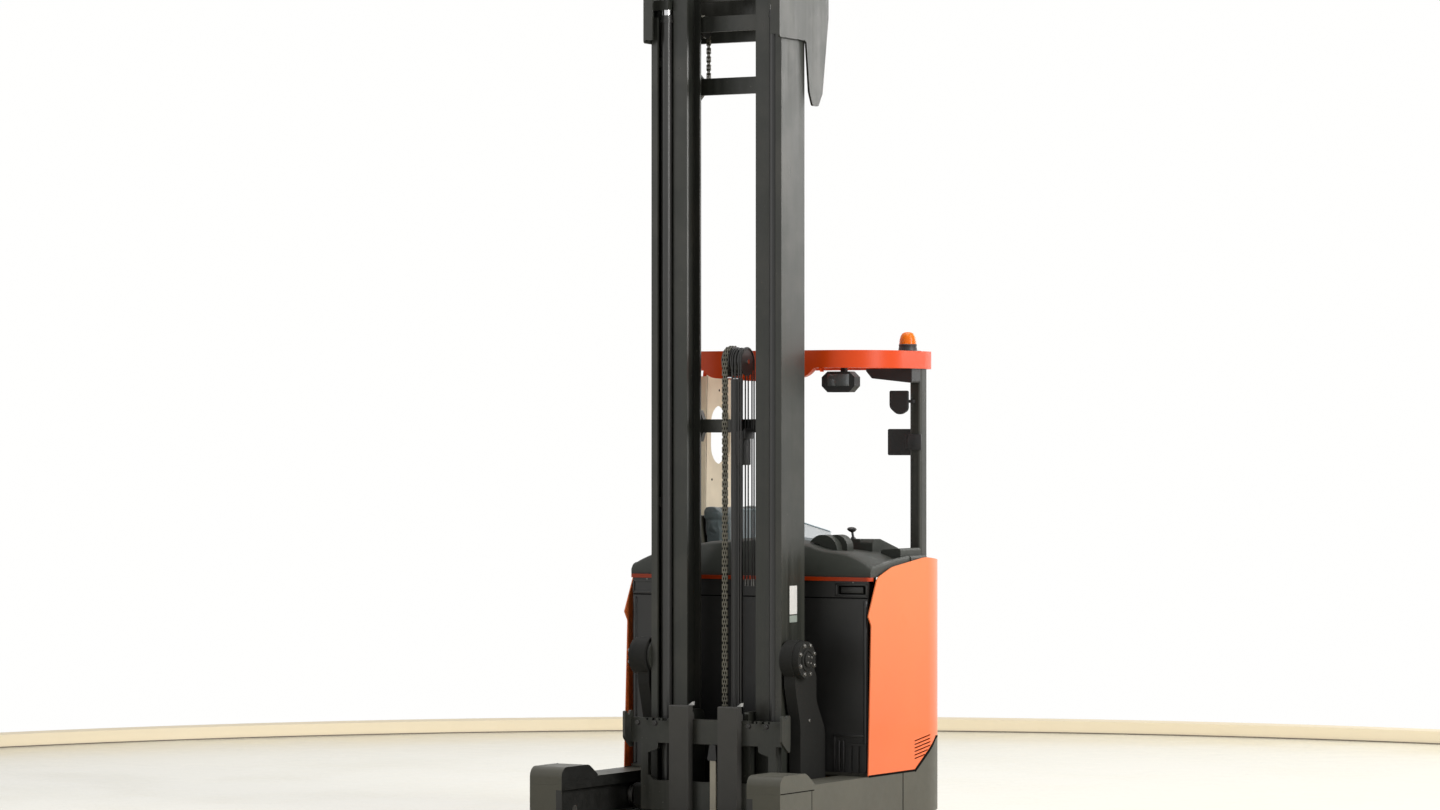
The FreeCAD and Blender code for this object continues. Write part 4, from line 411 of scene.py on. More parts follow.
def as_mesh(work, name):
    """Writes a bmesh out as a mesh and frees it."""
    mesh = bpy.data.meshes.new(name)
    work.to_mesh(mesh)
    work.free()
    return mesh

def reshape(mesh, edit, *values):
    """Runs an edit on a mesh and writes it back."""
    work = bmesh.new()
    work.from_mesh(mesh)
    edit(work, *values)
    work.to_mesh(mesh)
    work.free()


def evaluated(item):
    """The mesh of an object with its modifiers applied."""
    return bpy.data.meshes.new_from_object(item.evaluated_get(bpy.context.evaluated_depsgraph_get()))

def mesh_from(name, build, slot=None, smooth=35):
    """Runs a bmesh builder and returns its mesh, smooth-shaded below an angle."""
    work = bmesh.new()
    build(work)
    bmesh.ops.recalc_face_normals(work, faces=work.faces)
    mesh = as_mesh(work, name)
    mesh.shade_smooth()
    mesh.set_sharp_from_angle(angle=math.radians(smooth))
    if slot:
        mesh.materials.append(finish(slot))
    return mesh

def fit(name, build, slot, body="root", hide=(), smooth=35):
    """Builds a piece and puts it in the scene."""
    add_piece(name, mesh_from(name, build, smooth=smooth), body, slot, hide)

def joined(name, parts, slot):
    """Merges meshes that are used up in it into one."""
    work = bmesh.new()
    for part in parts:
        work.from_mesh(part)
        bpy.data.meshes.remove(part)
    mesh = as_mesh(work, name)
    mesh.materials.append(finish(slot))
    return mesh

def rounded_box(work, low, high, radius=0.002, steps=2):
    """Adds a box with rounded edges between two corners."""
    low, high = Vector(low), Vector(high)
    made = bmesh.ops.create_cube(work, size=1.0)["verts"]
    size, middle = high - low, (high + low) / 2
    for vert in made:
        vert.co = Vector([vert.co[i] * size[i] for i in range(3)])
    edges = list({edge for vert in made for edge in vert.link_edges})
    done = bmesh.ops.bevel(work, geom=edges, offset=min(radius, min(size) * 0.45), segments=steps,
                           profile=0.5, affect="EDGES")
    verts = {vert for face in done["faces"] for vert in face.verts}
    bmesh.ops.transform(work, matrix=Matrix.Translation(middle), verts=list(verts))

def both_sides(work, low, high, radius=0.0003, steps=1):
    """Adds a rounded box and its mirror image on the truck's other side."""
    rounded_box(work, low, high, radius, steps)
    rounded_box(work, (-high[0], *low[1:]), (-low[0], *high[1:]), radius, steps)

def boxes(*rows):
    """A builder of rounded boxes, each given by two corners, a radius and its steps."""
    def build(work):
        for row in rows:
            rounded_box(work, *row)
    return build

def aim(along, radius, angle, centre, axis):
    """A point round an axis through a centre."""
    across, up = radius * math.cos(angle), radius * math.sin(angle)
    offset = {"X": (along, across, up), "Y": (across, along, up), "Z": (across, up, along)}[axis]
    return Vector(centre) + Vector(offset)

def bridge(work, first, second):
    """Closes the wall between two loops of corners; one of them may be a single point."""
    count = max(len(first), len(second))
    for i in range(count):
        j = (i + 1) % count
        corners = [first[i % len(first)], first[j % len(first)],
                   second[j % len(second)], second[i % len(second)]]
        unique = list(dict.fromkeys(corners))
        if len(unique) > 2:
            work.faces.new(unique)

def turned_shape(work, profile, centre, axis="Z", steps=32, ring=False):
    """Adds a closed turned shape; the profile runs (along, radius) from axis to axis, or round a ring."""
    rings = [[work.verts.new(aim(along, radius, 2 * math.pi * i / steps, centre, axis))
              for i in range(steps if radius else 1)] for along, radius in profile]
    for first, second in zip(rings, rings[1:] + (rings[:1] if ring else [])):
        bridge(work, first, second)

def studs(work, radius, x, y, heights):
    """Adds flat round screw heads that stand out to the front."""
    for z in heights:
        turned_shape(work, [(0.002, 0), (0.002, radius), (-0.004, radius - 0.001), (-0.004, 0)],
                     (x, y, z), "Y", 16)


def turned_piece(profile, centre, axis="Z", steps=32):
    """A builder of one turned shape."""
    return lambda work: turned_shape(work, profile, centre, axis, steps)

def strip(work, sections):
    """Adds a closed strip through a row of sections with the same number of corners."""
    rows = [[work.verts.new(point) for point in section] for section in sections]
    for first, second in zip(rows, rows[1:]):
        bridge(work, first, second)
    work.faces.new(rows[0])
    work.faces.new(list(reversed(rows[-1])))

def slab(work, outline, axis, low, high):
    """Adds a closed prism: an outline on the other two axes, drawn out along one axis."""
    def place(a, b, t):
        return {"X": (t, a, b), "Y": (a, t, b), "Z": (a, b, t)}[axis]
    strip(work, [[place(a, b, t) for a, b in outline] for t in (low, high)])

def pipe(name, points, radius, slot):
    """A round bar along a smooth row of points, with closed ends, as a mesh."""
    curve = bpy.data.curves.new(name, "CURVE")
    curve.dimensions, curve.bevel_depth, curve.bevel_resolution = "3D", radius, 3
    curve.use_fill_caps = True
    spline = curve.splines.new("POLY")
    spline.points.add(len(points) - 1)
    for point, place in zip(spline.points, points):
        point.co = (*place, 1.0)
    item = bpy.data.objects.new(name, curve)
    mesh = bpy.data.meshes.new_from_object(item)
    bpy.data.objects.remove(item)
    bpy.data.curves.remove(curve)
    mesh.name = name
    mesh.shade_smooth()
    mesh.materials.clear()
    mesh.materials.append(finish(slot))
    return mesh

def over_pulley(node, x, inset, foot, end, steps=PULLEY_STEPS):
    """A row of points up from a foot, over the pulley at the top of a node's box and down to an end."""
    low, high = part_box(node)
    middle, half = (low.y + high.y) / 2, (high.y - low.y) / 2
    radius, wheel = half - inset, high.z - half
    turns = [math.pi * i / steps for i in range(1, steps)]
    arc = [(x, middle - radius * math.cos(turn), wheel + radius * math.sin(turn)) for turn in turns]
    return [Vector(point) for point in ((x, middle - radius, low.z + foot), (x, middle - radius, wheel), *arc,
                                        (x, middle + radius, wheel), (x, middle + radius, end))]

# ---------------- geometry nodes
class Plan(Graph):
    """A Geometry Nodes tree under construction."""

    def __init__(self, name, inputs):
        super().__init__(bpy.data.node_groups.new(name, "GeometryNodeTree"))
        self.tree.is_modifier = True
        face = self.tree.interface
        self.sockets = {}
        for label, kind in {"Geometry": "Geometry", **inputs, "Finish": "Material"}.items():
            socket = face.new_socket(name=label, in_out="INPUT", socket_type="NodeSocket" + kind)
            self.sockets[label] = socket.identifier
        face.new_socket(name="Geometry", in_out="OUTPUT", socket_type="NodeSocketGeometry")
        self.entry = self.tree.nodes.new("NodeGroupInput")

    def given(self, label):
        return Wire(self.tree, self.entry.outputs[label])

    def copies(self, points, label, **more):
        """Copies of the object behind an input, set on points."""
        shape = self.node("GeometryNodeObjectInfo", output="Geometry", Object=self.given(label))
        return self.node("GeometryNodeInstanceOnPoints", Points=points, Instance=shape, **more)

    def grow(self, geometry, carrier, slot, values):
        """Closes the tree, runs it on a carrier mesh with the values of its inputs, and returns the mesh."""
        real = self.node("GeometryNodeRealizeInstances", Geometry=geometry)
        painted = self.node("GeometryNodeSetMaterial", Geometry=real, Material=self.given("Finish"))
        self.tree.links.new(painted.socket, self.tree.nodes.new("NodeGroupOutput").inputs["Geometry"])
        host = put_down("host", carrier)
        modifier = host.modifiers.new("copies", "NODES")
        modifier.node_group = self.tree
        for label, value in {**values, "Finish": finish(slot)}.items():
            modifier[self.sockets[label]] = value
        mesh = evaluated(host)
        for spare in (host, *[item for item in values.values() if isinstance(item, bpy.types.Object)]):
            bpy.data.objects.remove(spare)
        return mesh

def repeat_at(name, shape, points, slot, turns=None):
    """Copies one shape to many points, each with an optional turn as Euler angles, as a plain mesh."""
    carrier = bpy.data.meshes.new(name + "_points")
    carrier.from_pydata(points, [], [])
    turn = carrier.attributes.new("turn", "FLOAT_VECTOR", "POINT")
    for index, item in enumerate(turns or [(0, 0, 0)] * len(points)):
        turn.data[index].vector = item
    plan = Plan(name + "_plan", {"Shape": "Object"})
    angle = plan.node("GeometryNodeInputNamedAttribute", {"data_type": "FLOAT_VECTOR"}, Name="turn")
    copies = plan.copies(plan.given("Geometry"), "Shape", Rotation=angle)
    mesh = plan.grow(copies, carrier, slot, {"Shape": put_down(name + "_stamp", shape)})
    mesh.name = name
    return mesh

def fit_copies(name, stamp, points, slot, body="root", turns=None):
    """Puts copies of a stamp in the scene as one piece."""
    add_piece(name, repeat_at(name, stamp, points, slot, turns), body, slot)


# ---------------- settings
class TruckColours(bpy.types.PropertyGroup):
    """Paint and cloth colours, as linear values."""

    arm_colour: bpy.props.FloatVectorProperty(
        name="Support arms", description="Grey of the support arms", subtype="COLOR",
        default=(0.058, 0.056, 0.042))
    chassis_colour: bpy.props.FloatVectorProperty(
        name="Chassis", description="Grey of the skirt and frame", subtype="COLOR",
        default=(0.062, 0.060, 0.045))
    orange_colour: bpy.props.FloatVectorProperty(
        name="Body panels", description="Orange of the panels", subtype="COLOR",
        default=(0.84, 0.215, 0.060))
    deep_colour: bpy.props.FloatVectorProperty(
        name="Guard", description="Deeper orange of the guard and the lip", subtype="COLOR",
        default=(0.70, 0.062, 0.004))
    mast_colour: bpy.props.FloatVectorProperty(
        name="Mast", description="Dark grey of the mast sections", subtype="COLOR",
        default=(0.029, 0.031, 0.026))
    cowl_colour: bpy.props.FloatVectorProperty(
        name="Cowl", description="Grey-green of the cowl moulding", subtype="COLOR",
        default=(0.020, 0.023, 0.018))
    seat_colour: bpy.props.FloatVectorProperty(
        name="Seat cloth", description="Blue-grey of the seat", subtype="COLOR",
        default=(0.066, 0.088, 0.092))

class TruckView(bpy.types.PropertyGroup):
    """Where the picture is taken from."""

    lens: bpy.props.FloatProperty(
        name="Lens", description="Focal length on a 36 mm sensor", default=112.8, min=20, max=400)
    turn: bpy.props.FloatProperty(
        name="Turn", description="Turn of the camera about the vertical", subtype="ANGLE",
        default=math.radians(29.8))
    standing: bpy.props.FloatVectorProperty(
        name="Standing point", description="Where the camera stands", subtype="TRANSLATION",
        default=(10.044, -17.484, 1.80))
    rise: bpy.props.FloatProperty(
        name="Rise", description="Upward shift of the frame, in widths", default=0.0222)

class TruckPieces(bpy.types.PropertyGroup):
    """Sizes of the fine pieces."""

    chain_pitch: bpy.props.FloatProperty(
        name="Chain pitch", description="Pin to pin of the leaf chain", unit="LENGTH", default=0.01905)
    plate_height: bpy.props.FloatProperty(
        name="Link plate", description="Height of a link plate", unit="LENGTH", default=0.010)
    bolt_across: bpy.props.FloatProperty(
        name="Bolt head", description="Across the flats of a common bolt", unit="LENGTH", default=0.019)

# ---------------- stage and finishes
class TRUCK_OT_stage(bpy.types.Operator):
    """Makes the floor, the skirting ring, the soft light and the camera"""
    bl_idname = "truck.stage"
    bl_label = "Stage"

    FLOOR_RADIUS = 7.05
    MIDDLE_Y = 0.5
    RING_STEPS = 160
    TILE_LENGTH, TILE_WIDTH, JOINT = 2.4, 1.2, 0.002
    LAMPS = (("key_light", (10.5, -1.0, 5.5), (0.0, 0.6, 1.9), 5.0, 960.0),
             ("fill_light", (-8.0, -9.0, 5.0), (0.0, 0.0, 1.8), 6.0, 85.0),
             ("top_light", (0.0, 1.0, 9.0), (0.0, 0.4, 0.0), 6.0, 400.0),
             ("back_light", (3.0, 10.0, 5.0), (0.0, 0.5, 1.8), 5.0, 300.0))

    def execute(self, context):
        edge, scene = self.FLOOR_RADIUS, context.scene
        self.floor()
        skirting = Finish("skirting_finish")
        skirting.put(Base_Color=skirting.blend(skirting.noise(2.0), (0.94, 0.82, 0.60), (0.97, 0.86, 0.66)),
                     Roughness=0.5)
        self.ring("skirting", [(edge, 0.0), (edge, 0.075), (edge + 0.03, 0.085), (edge + 0.06, 0.085),
                               (edge + 0.06, 0.0)], skirting.material)
        self.ring("skirting_seam", [(edge - 0.006, 0.001), (edge - 0.006, 0.007)], finish("seam_grey"))
        self.sky(scene)
        for lamp in self.LAMPS:
            self.lamp(*lamp)
        view = scene.truck_view
        lens = bpy.data.cameras.new("camera")
        lens.sensor_width, lens.lens, lens.shift_y, lens.clip_end = 36.0, view.lens, view.rise, 200.0
        scene.camera = put_down("camera", lens)
        scene.camera.location = view.standing
        scene.camera.rotation_euler = (math.radians(90.0), 0.0, view.turn)
        scene.view_settings.view_transform = "Standard"
        return {"FINISHED"}

    def floor(self):
        """A round floor of large pale tiles."""
        f = Finish("floor_finish")
        away = f.node("ShaderNodeVectorMath", {"operation": "LENGTH"}, output="Value",
                      i0=f.mapped(Scale=(1.0, 1.0, 0.0)))
        tile = f.node("ShaderNodeTexBrick", Vector=f.place, Scale=1.0, Color1=(0.94, 0.91, 0.77, 1),
                      Color2=(0.93, 0.90, 0.76, 1), Mortar=(0.87, 0.83, 0.70, 1),
                      Mortar_Size=self.JOINT, Brick_Width=self.TILE_LENGTH, Row_Height=self.TILE_WIDTH)
        scuff = f.patches(0.45, 0.8, 1.1, 9.0, 0.65)
        f.put(Base_Color=f.blend(scuff * 0.12, tile, (0.80, 0.76, 0.66)),
              Roughness=(scuff * 0.12 + 0.16 + away * 0.002).clamp())
        work = bmesh.new()
        bmesh.ops.create_circle(work, cap_ends=True, segments=self.RING_STEPS, radius=self.FLOOR_RADIUS)
        bmesh.ops.translate(work, verts=work.verts, vec=(0.0, self.MIDDLE_Y, cad_low.z))
        self.stage_mesh("floor", as_mesh(work, "floor"), f.material)

    def ring(self, name, rows, material):
        """A wall round the floor through rows of radius and height."""
        steps = self.RING_STEPS
        turns = [2 * math.pi * i / steps for i in range(steps)]
        points = [(radius * math.cos(turn), self.MIDDLE_Y + radius * math.sin(turn), cad_low.z + height)
                  for radius, height in rows for turn in turns]
        faces = [(k + i, k + steps + i, k + steps + (i + 1) % steps, k + (i + 1) % steps)
                 for k in range(0, (len(rows) - 1) * steps, steps) for i in range(steps)]
        mesh = bpy.data.meshes.new(name)
        mesh.from_pydata(points, [], faces)
        self.stage_mesh(name, mesh, material)

    def stage_mesh(self, name, mesh, material):
        mesh.materials.append(material)
        put_down(name, mesh)

    def sky(self, scene):
        """White to the camera and in reflections, and a dimmer grey as light."""
        scene.world = bpy.data.worlds.new("studio")
        scene.world.use_nodes = True
        g = Graph(scene.world.node_tree)
        g.tree.nodes.clear()
        path = g.node("ShaderNodeLightPath").socket.node.outputs
        camera, glossy, through = [Wire(g.tree, path["Is {} Ray".format(kind)])
                                   for kind in ("Camera", "Glossy", "Transmission")]
        mixed = g.node("ShaderNodeMixShader", i0=(camera + glossy + through).clamp(),
                       i1=g.node("ShaderNodeBackground", Color=(0.80, 0.81, 0.82, 1), Strength=0.25),
                       i2=g.node("ShaderNodeBackground", Color=(1.0, 0.998, 0.99, 1), Strength=1.0))
        g.tree.links.new(mixed.socket, g.tree.nodes.new("ShaderNodeOutputWorld").inputs[0])

    def lamp(self, name, place, target, size, power):
        light = bpy.data.lights.new(name, "AREA")
        light.shape, light.size, light.energy = "DISK", size, power
        light.color = (1.0, 0.985, 0.96)
        item = put_down(name, light)
        item.location = place
        item.rotation_euler = (Vector(target) - Vector(place)).to_track_quat("-Z", "Y").to_euler()

class TRUCK_OT_finishes(bpy.types.Operator):
    """Gives every part of the frame its finish"""
    bl_idname = "truck.finishes"
    bl_label = "Finishes"

    PARTS = {
        "arm_paint": "support_arm_right support_arm_left arm_covers",
        "chassis_paint": "chassis_skirt chassis_frame floor_plate seat_shell",
        "orange_paint": "side_panel_right side_panel_left rear_cover overhead_guard guard_pillar cowl_lip",
        "mast_paint": "outer_mast intermediate_mast inner_mast lift_carriage side_shift_frame drive_unit "
                      "guard_post",
        "matt_black": "reach_frame",
        "cylinder_paint": "lift_cylinders free_lift_cylinder reach_barrel mast_pulleys side_pulleys",
        "rod_chrome": "lift_rods free_lift_ram reach_rod",
        "steel": "load_axles load_hub_right load_hub_left drive_hub reach_rollers",
        "chain_steel": "lift_chain side_chains",
        "fork_steel": "fork_right fork_left",
        "cover_black": "battery_cover battery_lock battery_block",
        "cowl_plastic": "cowl cowl_hoods side_console seat_pedestal",
        "black_plastic": "guard_fittings steering_wheel pedals cable_bundle hand_controls",
        "seat_cloth": "seat_cushion seat_back",
        "wheel_tread": "load_tyre_right load_tyre_left",
        "drive_tread": "drive_tyre",
        "hose_rubber": "mast_hoses",
        "cream_strip": "guide_strip",
        "clear_panel": "clear_shield",
        "beacon_amber": "beacon",
    }

    def execute(self, context):
        for slot, parts in self.PARTS.items():
            for part in parts.split():
                materials = nodes[part].data.materials
                if not materials:
                    materials.append(finish(slot))
                for index in range(len(materials)):
                    materials[index] = finish(slot)
        return {"FINISHED"}

# ---------------- chains
class TRUCK_OT_chains(bpy.types.Operator):
    """Lays leaf chain links along the runs of the lift chain and the two side chains"""
    bl_idname = "truck.chains"
    bl_label = "Leaf chains"

    PLATES = 5
    SIDE_WIDTH = 0.020
    FOOT, LIFT_END, SIDE_END = 0.012, 2.076, 3.452      # the runs start above their node's foot and end here
    CORE_HALF, PIN = 0.0116, 0.0036

    def execute(self, context):
        inset = context.scene.truck_pieces.plate_height / 2
        low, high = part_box("lift_chain")
        path = over_pulley("lift_chain", (low.x + high.x) / 2, inset, self.FOOT, self.LIFT_END)
        links = self.strand("lift_chain_links", path, high.x - low.x)
        add_piece("lift_chain_links", links, "free_lift_ram", "chain_steel", ["lift_chain"])
        # painted shade: a dark band where the strand shows shade between its plates
        fit("chain_core", lambda work: self.core(work, path, self.CORE_HALF), "dark_gap", "free_lift_ram")
        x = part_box("side_chains")[1].x - self.SIDE_WIDTH / 2
        runs = [over_pulley("side_chains", side * x, inset, self.FOOT, self.SIDE_END) for side in SIDES]
        links = joined("side_chain_links", [self.strand("side_strand", run, self.SIDE_WIDTH) for run in runs],
                       "chain_steel")
        add_piece("side_chain_links", links, "intermediate_mast", "chain_steel", ["side_chains"])
        return {"FINISHED"}

    def strand(self, name, path, width):
        """A leaf chain along a path: two packs of plates in turn, pinned together."""
        pieces = bpy.context.scene.truck_pieces
        carrier = bpy.data.meshes.new(name + "_path")
        carrier.from_pydata(path, [(i, i + 1) for i in range(len(path) - 1)], [])
        plan = Plan(name + "_plan", {"Pitch": "Float", "Outer pack": "Object", "Inner pack": "Object"})
        line = plan.node("GeometryNodeMeshToCurve", Mesh=plan.given("Geometry"))
        places = plan.node("GeometryNodeResampleCurve", {"mode": "LENGTH"}, Curve=line,
                           Length=plan.given("Pitch"))
        turn = plan.node("FunctionNodeAlignRotationToVector", {"axis": "Z", "pivot_axis": "X"},
                         Vector=plan.node("GeometryNodeInputTangent"))
        odd = plan.node("GeometryNodeInputIndex").math("MODULO", 2.0)
        merged = plan.node("GeometryNodeJoinGeometry")
        for label, chosen in (("Outer pack", 1.0 - odd), ("Inner pack", odd)):
            copies = plan.copies(places, label, Selection=chosen, Rotation=turn)
            plan.tree.links.new(copies.socket, merged.socket.node.inputs[0])
        mesh = plan.grow(merged, carrier, "chain_steel", {
            "Pitch": pieces.chain_pitch,
            "Outer pack": put_down(name + "_outer", self.pack(width, pieces, 0)),
            "Inner pack": put_down(name + "_inner", self.pack(width, pieces, 1))})
        mesh.name = name
        return mesh

    def core(self, work, path, half):
        """Painted shade: a dark band along the middle of the strand, seen between the ends of the plates."""
        sections = []
        for index, point in enumerate(path):
            ahead = path[min(index + 1, len(path) - 1)] - path[max(index - 1, 0)]
            out = Vector((0.0, ahead.z, -ahead.y)).normalized() * 0.0012
            sections.append([point + out * side + Vector((x, 0.0, 0.0)) for x, side in
                             ((-half, -1), (half, -1), (half, 1), (-half, 1))])
        strip(work, sections)

    def pack(self, width, pieces, first):
        """Every second link plate with its pin, standing along Z from the origin."""
        pitch, end, lane_width = pieces.chain_pitch, pieces.plate_height / 2, width / self.PLATES
        low, high = [[(end * math.sin(math.radians(turn)), foot - end * math.cos(math.radians(turn)))
                      for turn in range(start, start + 181, 45)] for foot, start in ((0, -90), (pitch, 90))]
        outline = [*low, (end * 0.74, pitch / 2), *high, (-end * 0.74, pitch / 2)]
        pin, reach = self.PIN, width / 2 + 0.0008
        work = bmesh.new()
        for lane in range(first, self.PLATES, 2):
            left = -width / 2 + (lane + 0.08) * lane_width
            slab(work, outline, "X", left, left + lane_width * 0.84)
        turned_shape(work, [(-reach, 0), (-reach, pin), (reach, pin), (reach, 0)], (0, 0, 0), "X", 8)
        bmesh.ops.recalc_face_normals(work, faces=work.faces)
        return as_mesh(work, "pack")

# ---------------- seat
class TRUCK_OT_seat_pads(bpy.types.Operator):
    """Blows up the seat cushion and backrest as padded cloth and presses their sewn channels in"""
    bl_idname = "truck.seat_pads"
    bl_label = "Seat pads"

    INSET, VOXEL, FRAMES = 0.010, 0.006, 20     # room left to swell, the cloth's grid, and how long it swells
    BOLSTER, SEAM_DEPTH, SEAM_WIDTH = 0.32, 0.009, 0.007
    CHANNEL_DEPTH, CHANNEL_WIDTH, DEEPEST = 0.006, 0.006, 0.010
    # how far the cloth may swell, the axis its cross channels are spread along, and their shares of it
    PADS = {"seat_cushion": (0.016, 0, (0.30, 0.62)), "seat_back": (0.014, 2, (0.32, 0.62, 0.84))}

    def execute(self, context):
        for name, (cap, axis, lines) in self.PADS.items():
            self.pad(name, cap, axis, lines)
        return {"FINISHED"}

    def pad(self, name, cap, axis, lines):
        low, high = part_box(name)
        mesh = nodes[name].data.copy()
        mesh.materials.clear()
        item = put_down(name + "_pad", mesh)
        reshape(mesh, self.shrink, low, high)
        remesh = item.modifiers.new("remesh", "REMESH")
        remesh.mode, remesh.voxel_size = "VOXEL", self.VOXEL
        self.settle(item)
        self.blow(item, cap)
        reshape(item.data, self.channels, low, high, axis, lines)
        smooth = item.modifiers.new("smooth", "SUBSURF")
        smooth.levels = smooth.render_levels = 1
        self.settle(item)
        item.data.shade_smooth()
        item.data.materials.clear()
        item.data.materials.append(finish("seat_cloth"))
        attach(item, "root")
        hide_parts(name)

    def shrink(self, work, low, high):
        """Draws the solid in evenly, to leave room for the swelling."""
        bmesh.ops.remove_doubles(work, verts=work.verts, dist=0.0001)
        middle = (low + high) / 2
        for vert in work.verts:
            offset = vert.co - middle
            for i in range(3):
                span = (high[i] - low[i]) / 2
                offset[i] *= (span - self.INSET) / span
            vert.co = middle + offset
        bmesh.ops.recalc_face_normals(work, faces=work.faces)

    def settle(self, item):
        """Applies the modifiers of an object to its mesh."""
        mesh = evaluated(item)
        item.modifiers.clear()
        item.data = mesh

    def blow(self, item, cap):
        """Inflates the cloth, and holds back any point that moved further than the cap."""
        scene = bpy.context.scene
        before = [vert.co.copy() for vert in item.data.vertices]
        settings = item.modifiers.new("cloth", "CLOTH").settings
        settings.quality = 5
        settings.use_pressure = True
        settings.uniform_pressure_force = 4.0
        settings.effector_weights.gravity = 0.0
        settings.tension_stiffness = 12
        settings.bending_stiffness = 1.5
        for step in range(self.FRAMES):
            scene.frame_set(step + 1)
        self.settle(item)
        scene.frame_set(1)
        for vert, start in zip(item.data.vertices, before):
            move = vert.co - start
            if move.length > cap:
                vert.co = start + move.normalized() * cap

    def channels(self, work, low, high, axis, lines):
        """Presses the seams beside the bolsters and the sewn cross channels into the pad."""
        across = (low.y + high.y) / 2
        work.normal_update()
        for vert in work.verts:
            seam = abs(abs(vert.co.y - across) - (high.y - low.y) * self.BOLSTER)
            depth = self.SEAM_DEPTH * math.exp(-(seam / self.SEAM_WIDTH) ** 2)
            for line in lines:
                gap = abs(vert.co[axis] - (low[axis] + (high[axis] - low[axis]) * line))
                depth += self.CHANNEL_DEPTH * math.exp(-(gap / self.CHANNEL_WIDTH) ** 2)
            vert.co -= vert.normal * min(depth, self.DEEPEST)

# ---------------- beacon
class TRUCK_OT_beacon(bpy.types.Operator):
    """Turns the beacon: black foot, collar and amber dome"""
    bl_idname = "truck.beacon"
    bl_label = "Beacon"

    def execute(self, context):
        low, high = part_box("beacon")
        centre = ((low.x + high.x) / 2, (low.y + high.y) / 2, low.z)
        half, tall = (high.x - low.x) / 2, high.z - low.z

        def scaled(*rows):
            return [(tall * up, half * out) for up, out in rows]

        def foot(work):
            rounded_box(work, low, (high.x, high.y, low.z + 0.004), 0.0015)
            turned_shape(work, [(0.004, 0), (0.004, half * 0.94), (0.010, half * 0.93)]
                         + scaled((0.26, 0.88), (0.29, 0.90), (0.36, 0.90), (0.38, 0.86), (0.38, 0)),
                         centre, "Z", 40)
        fit("beacon_foot", foot, "black_plastic", hide=["beacon"])
        dome = scaled((0.38, 0), (0.38, 0.86), (0.60, 0.82), (0.80, 0.71), (0.92, 0.56), (0.98, 0.34), (1, 0))
        fit("beacon_dome", turned_piece(dome, centre, "Z", 40), "beacon_amber", hide=["beacon"])
        return {"FINISHED"}

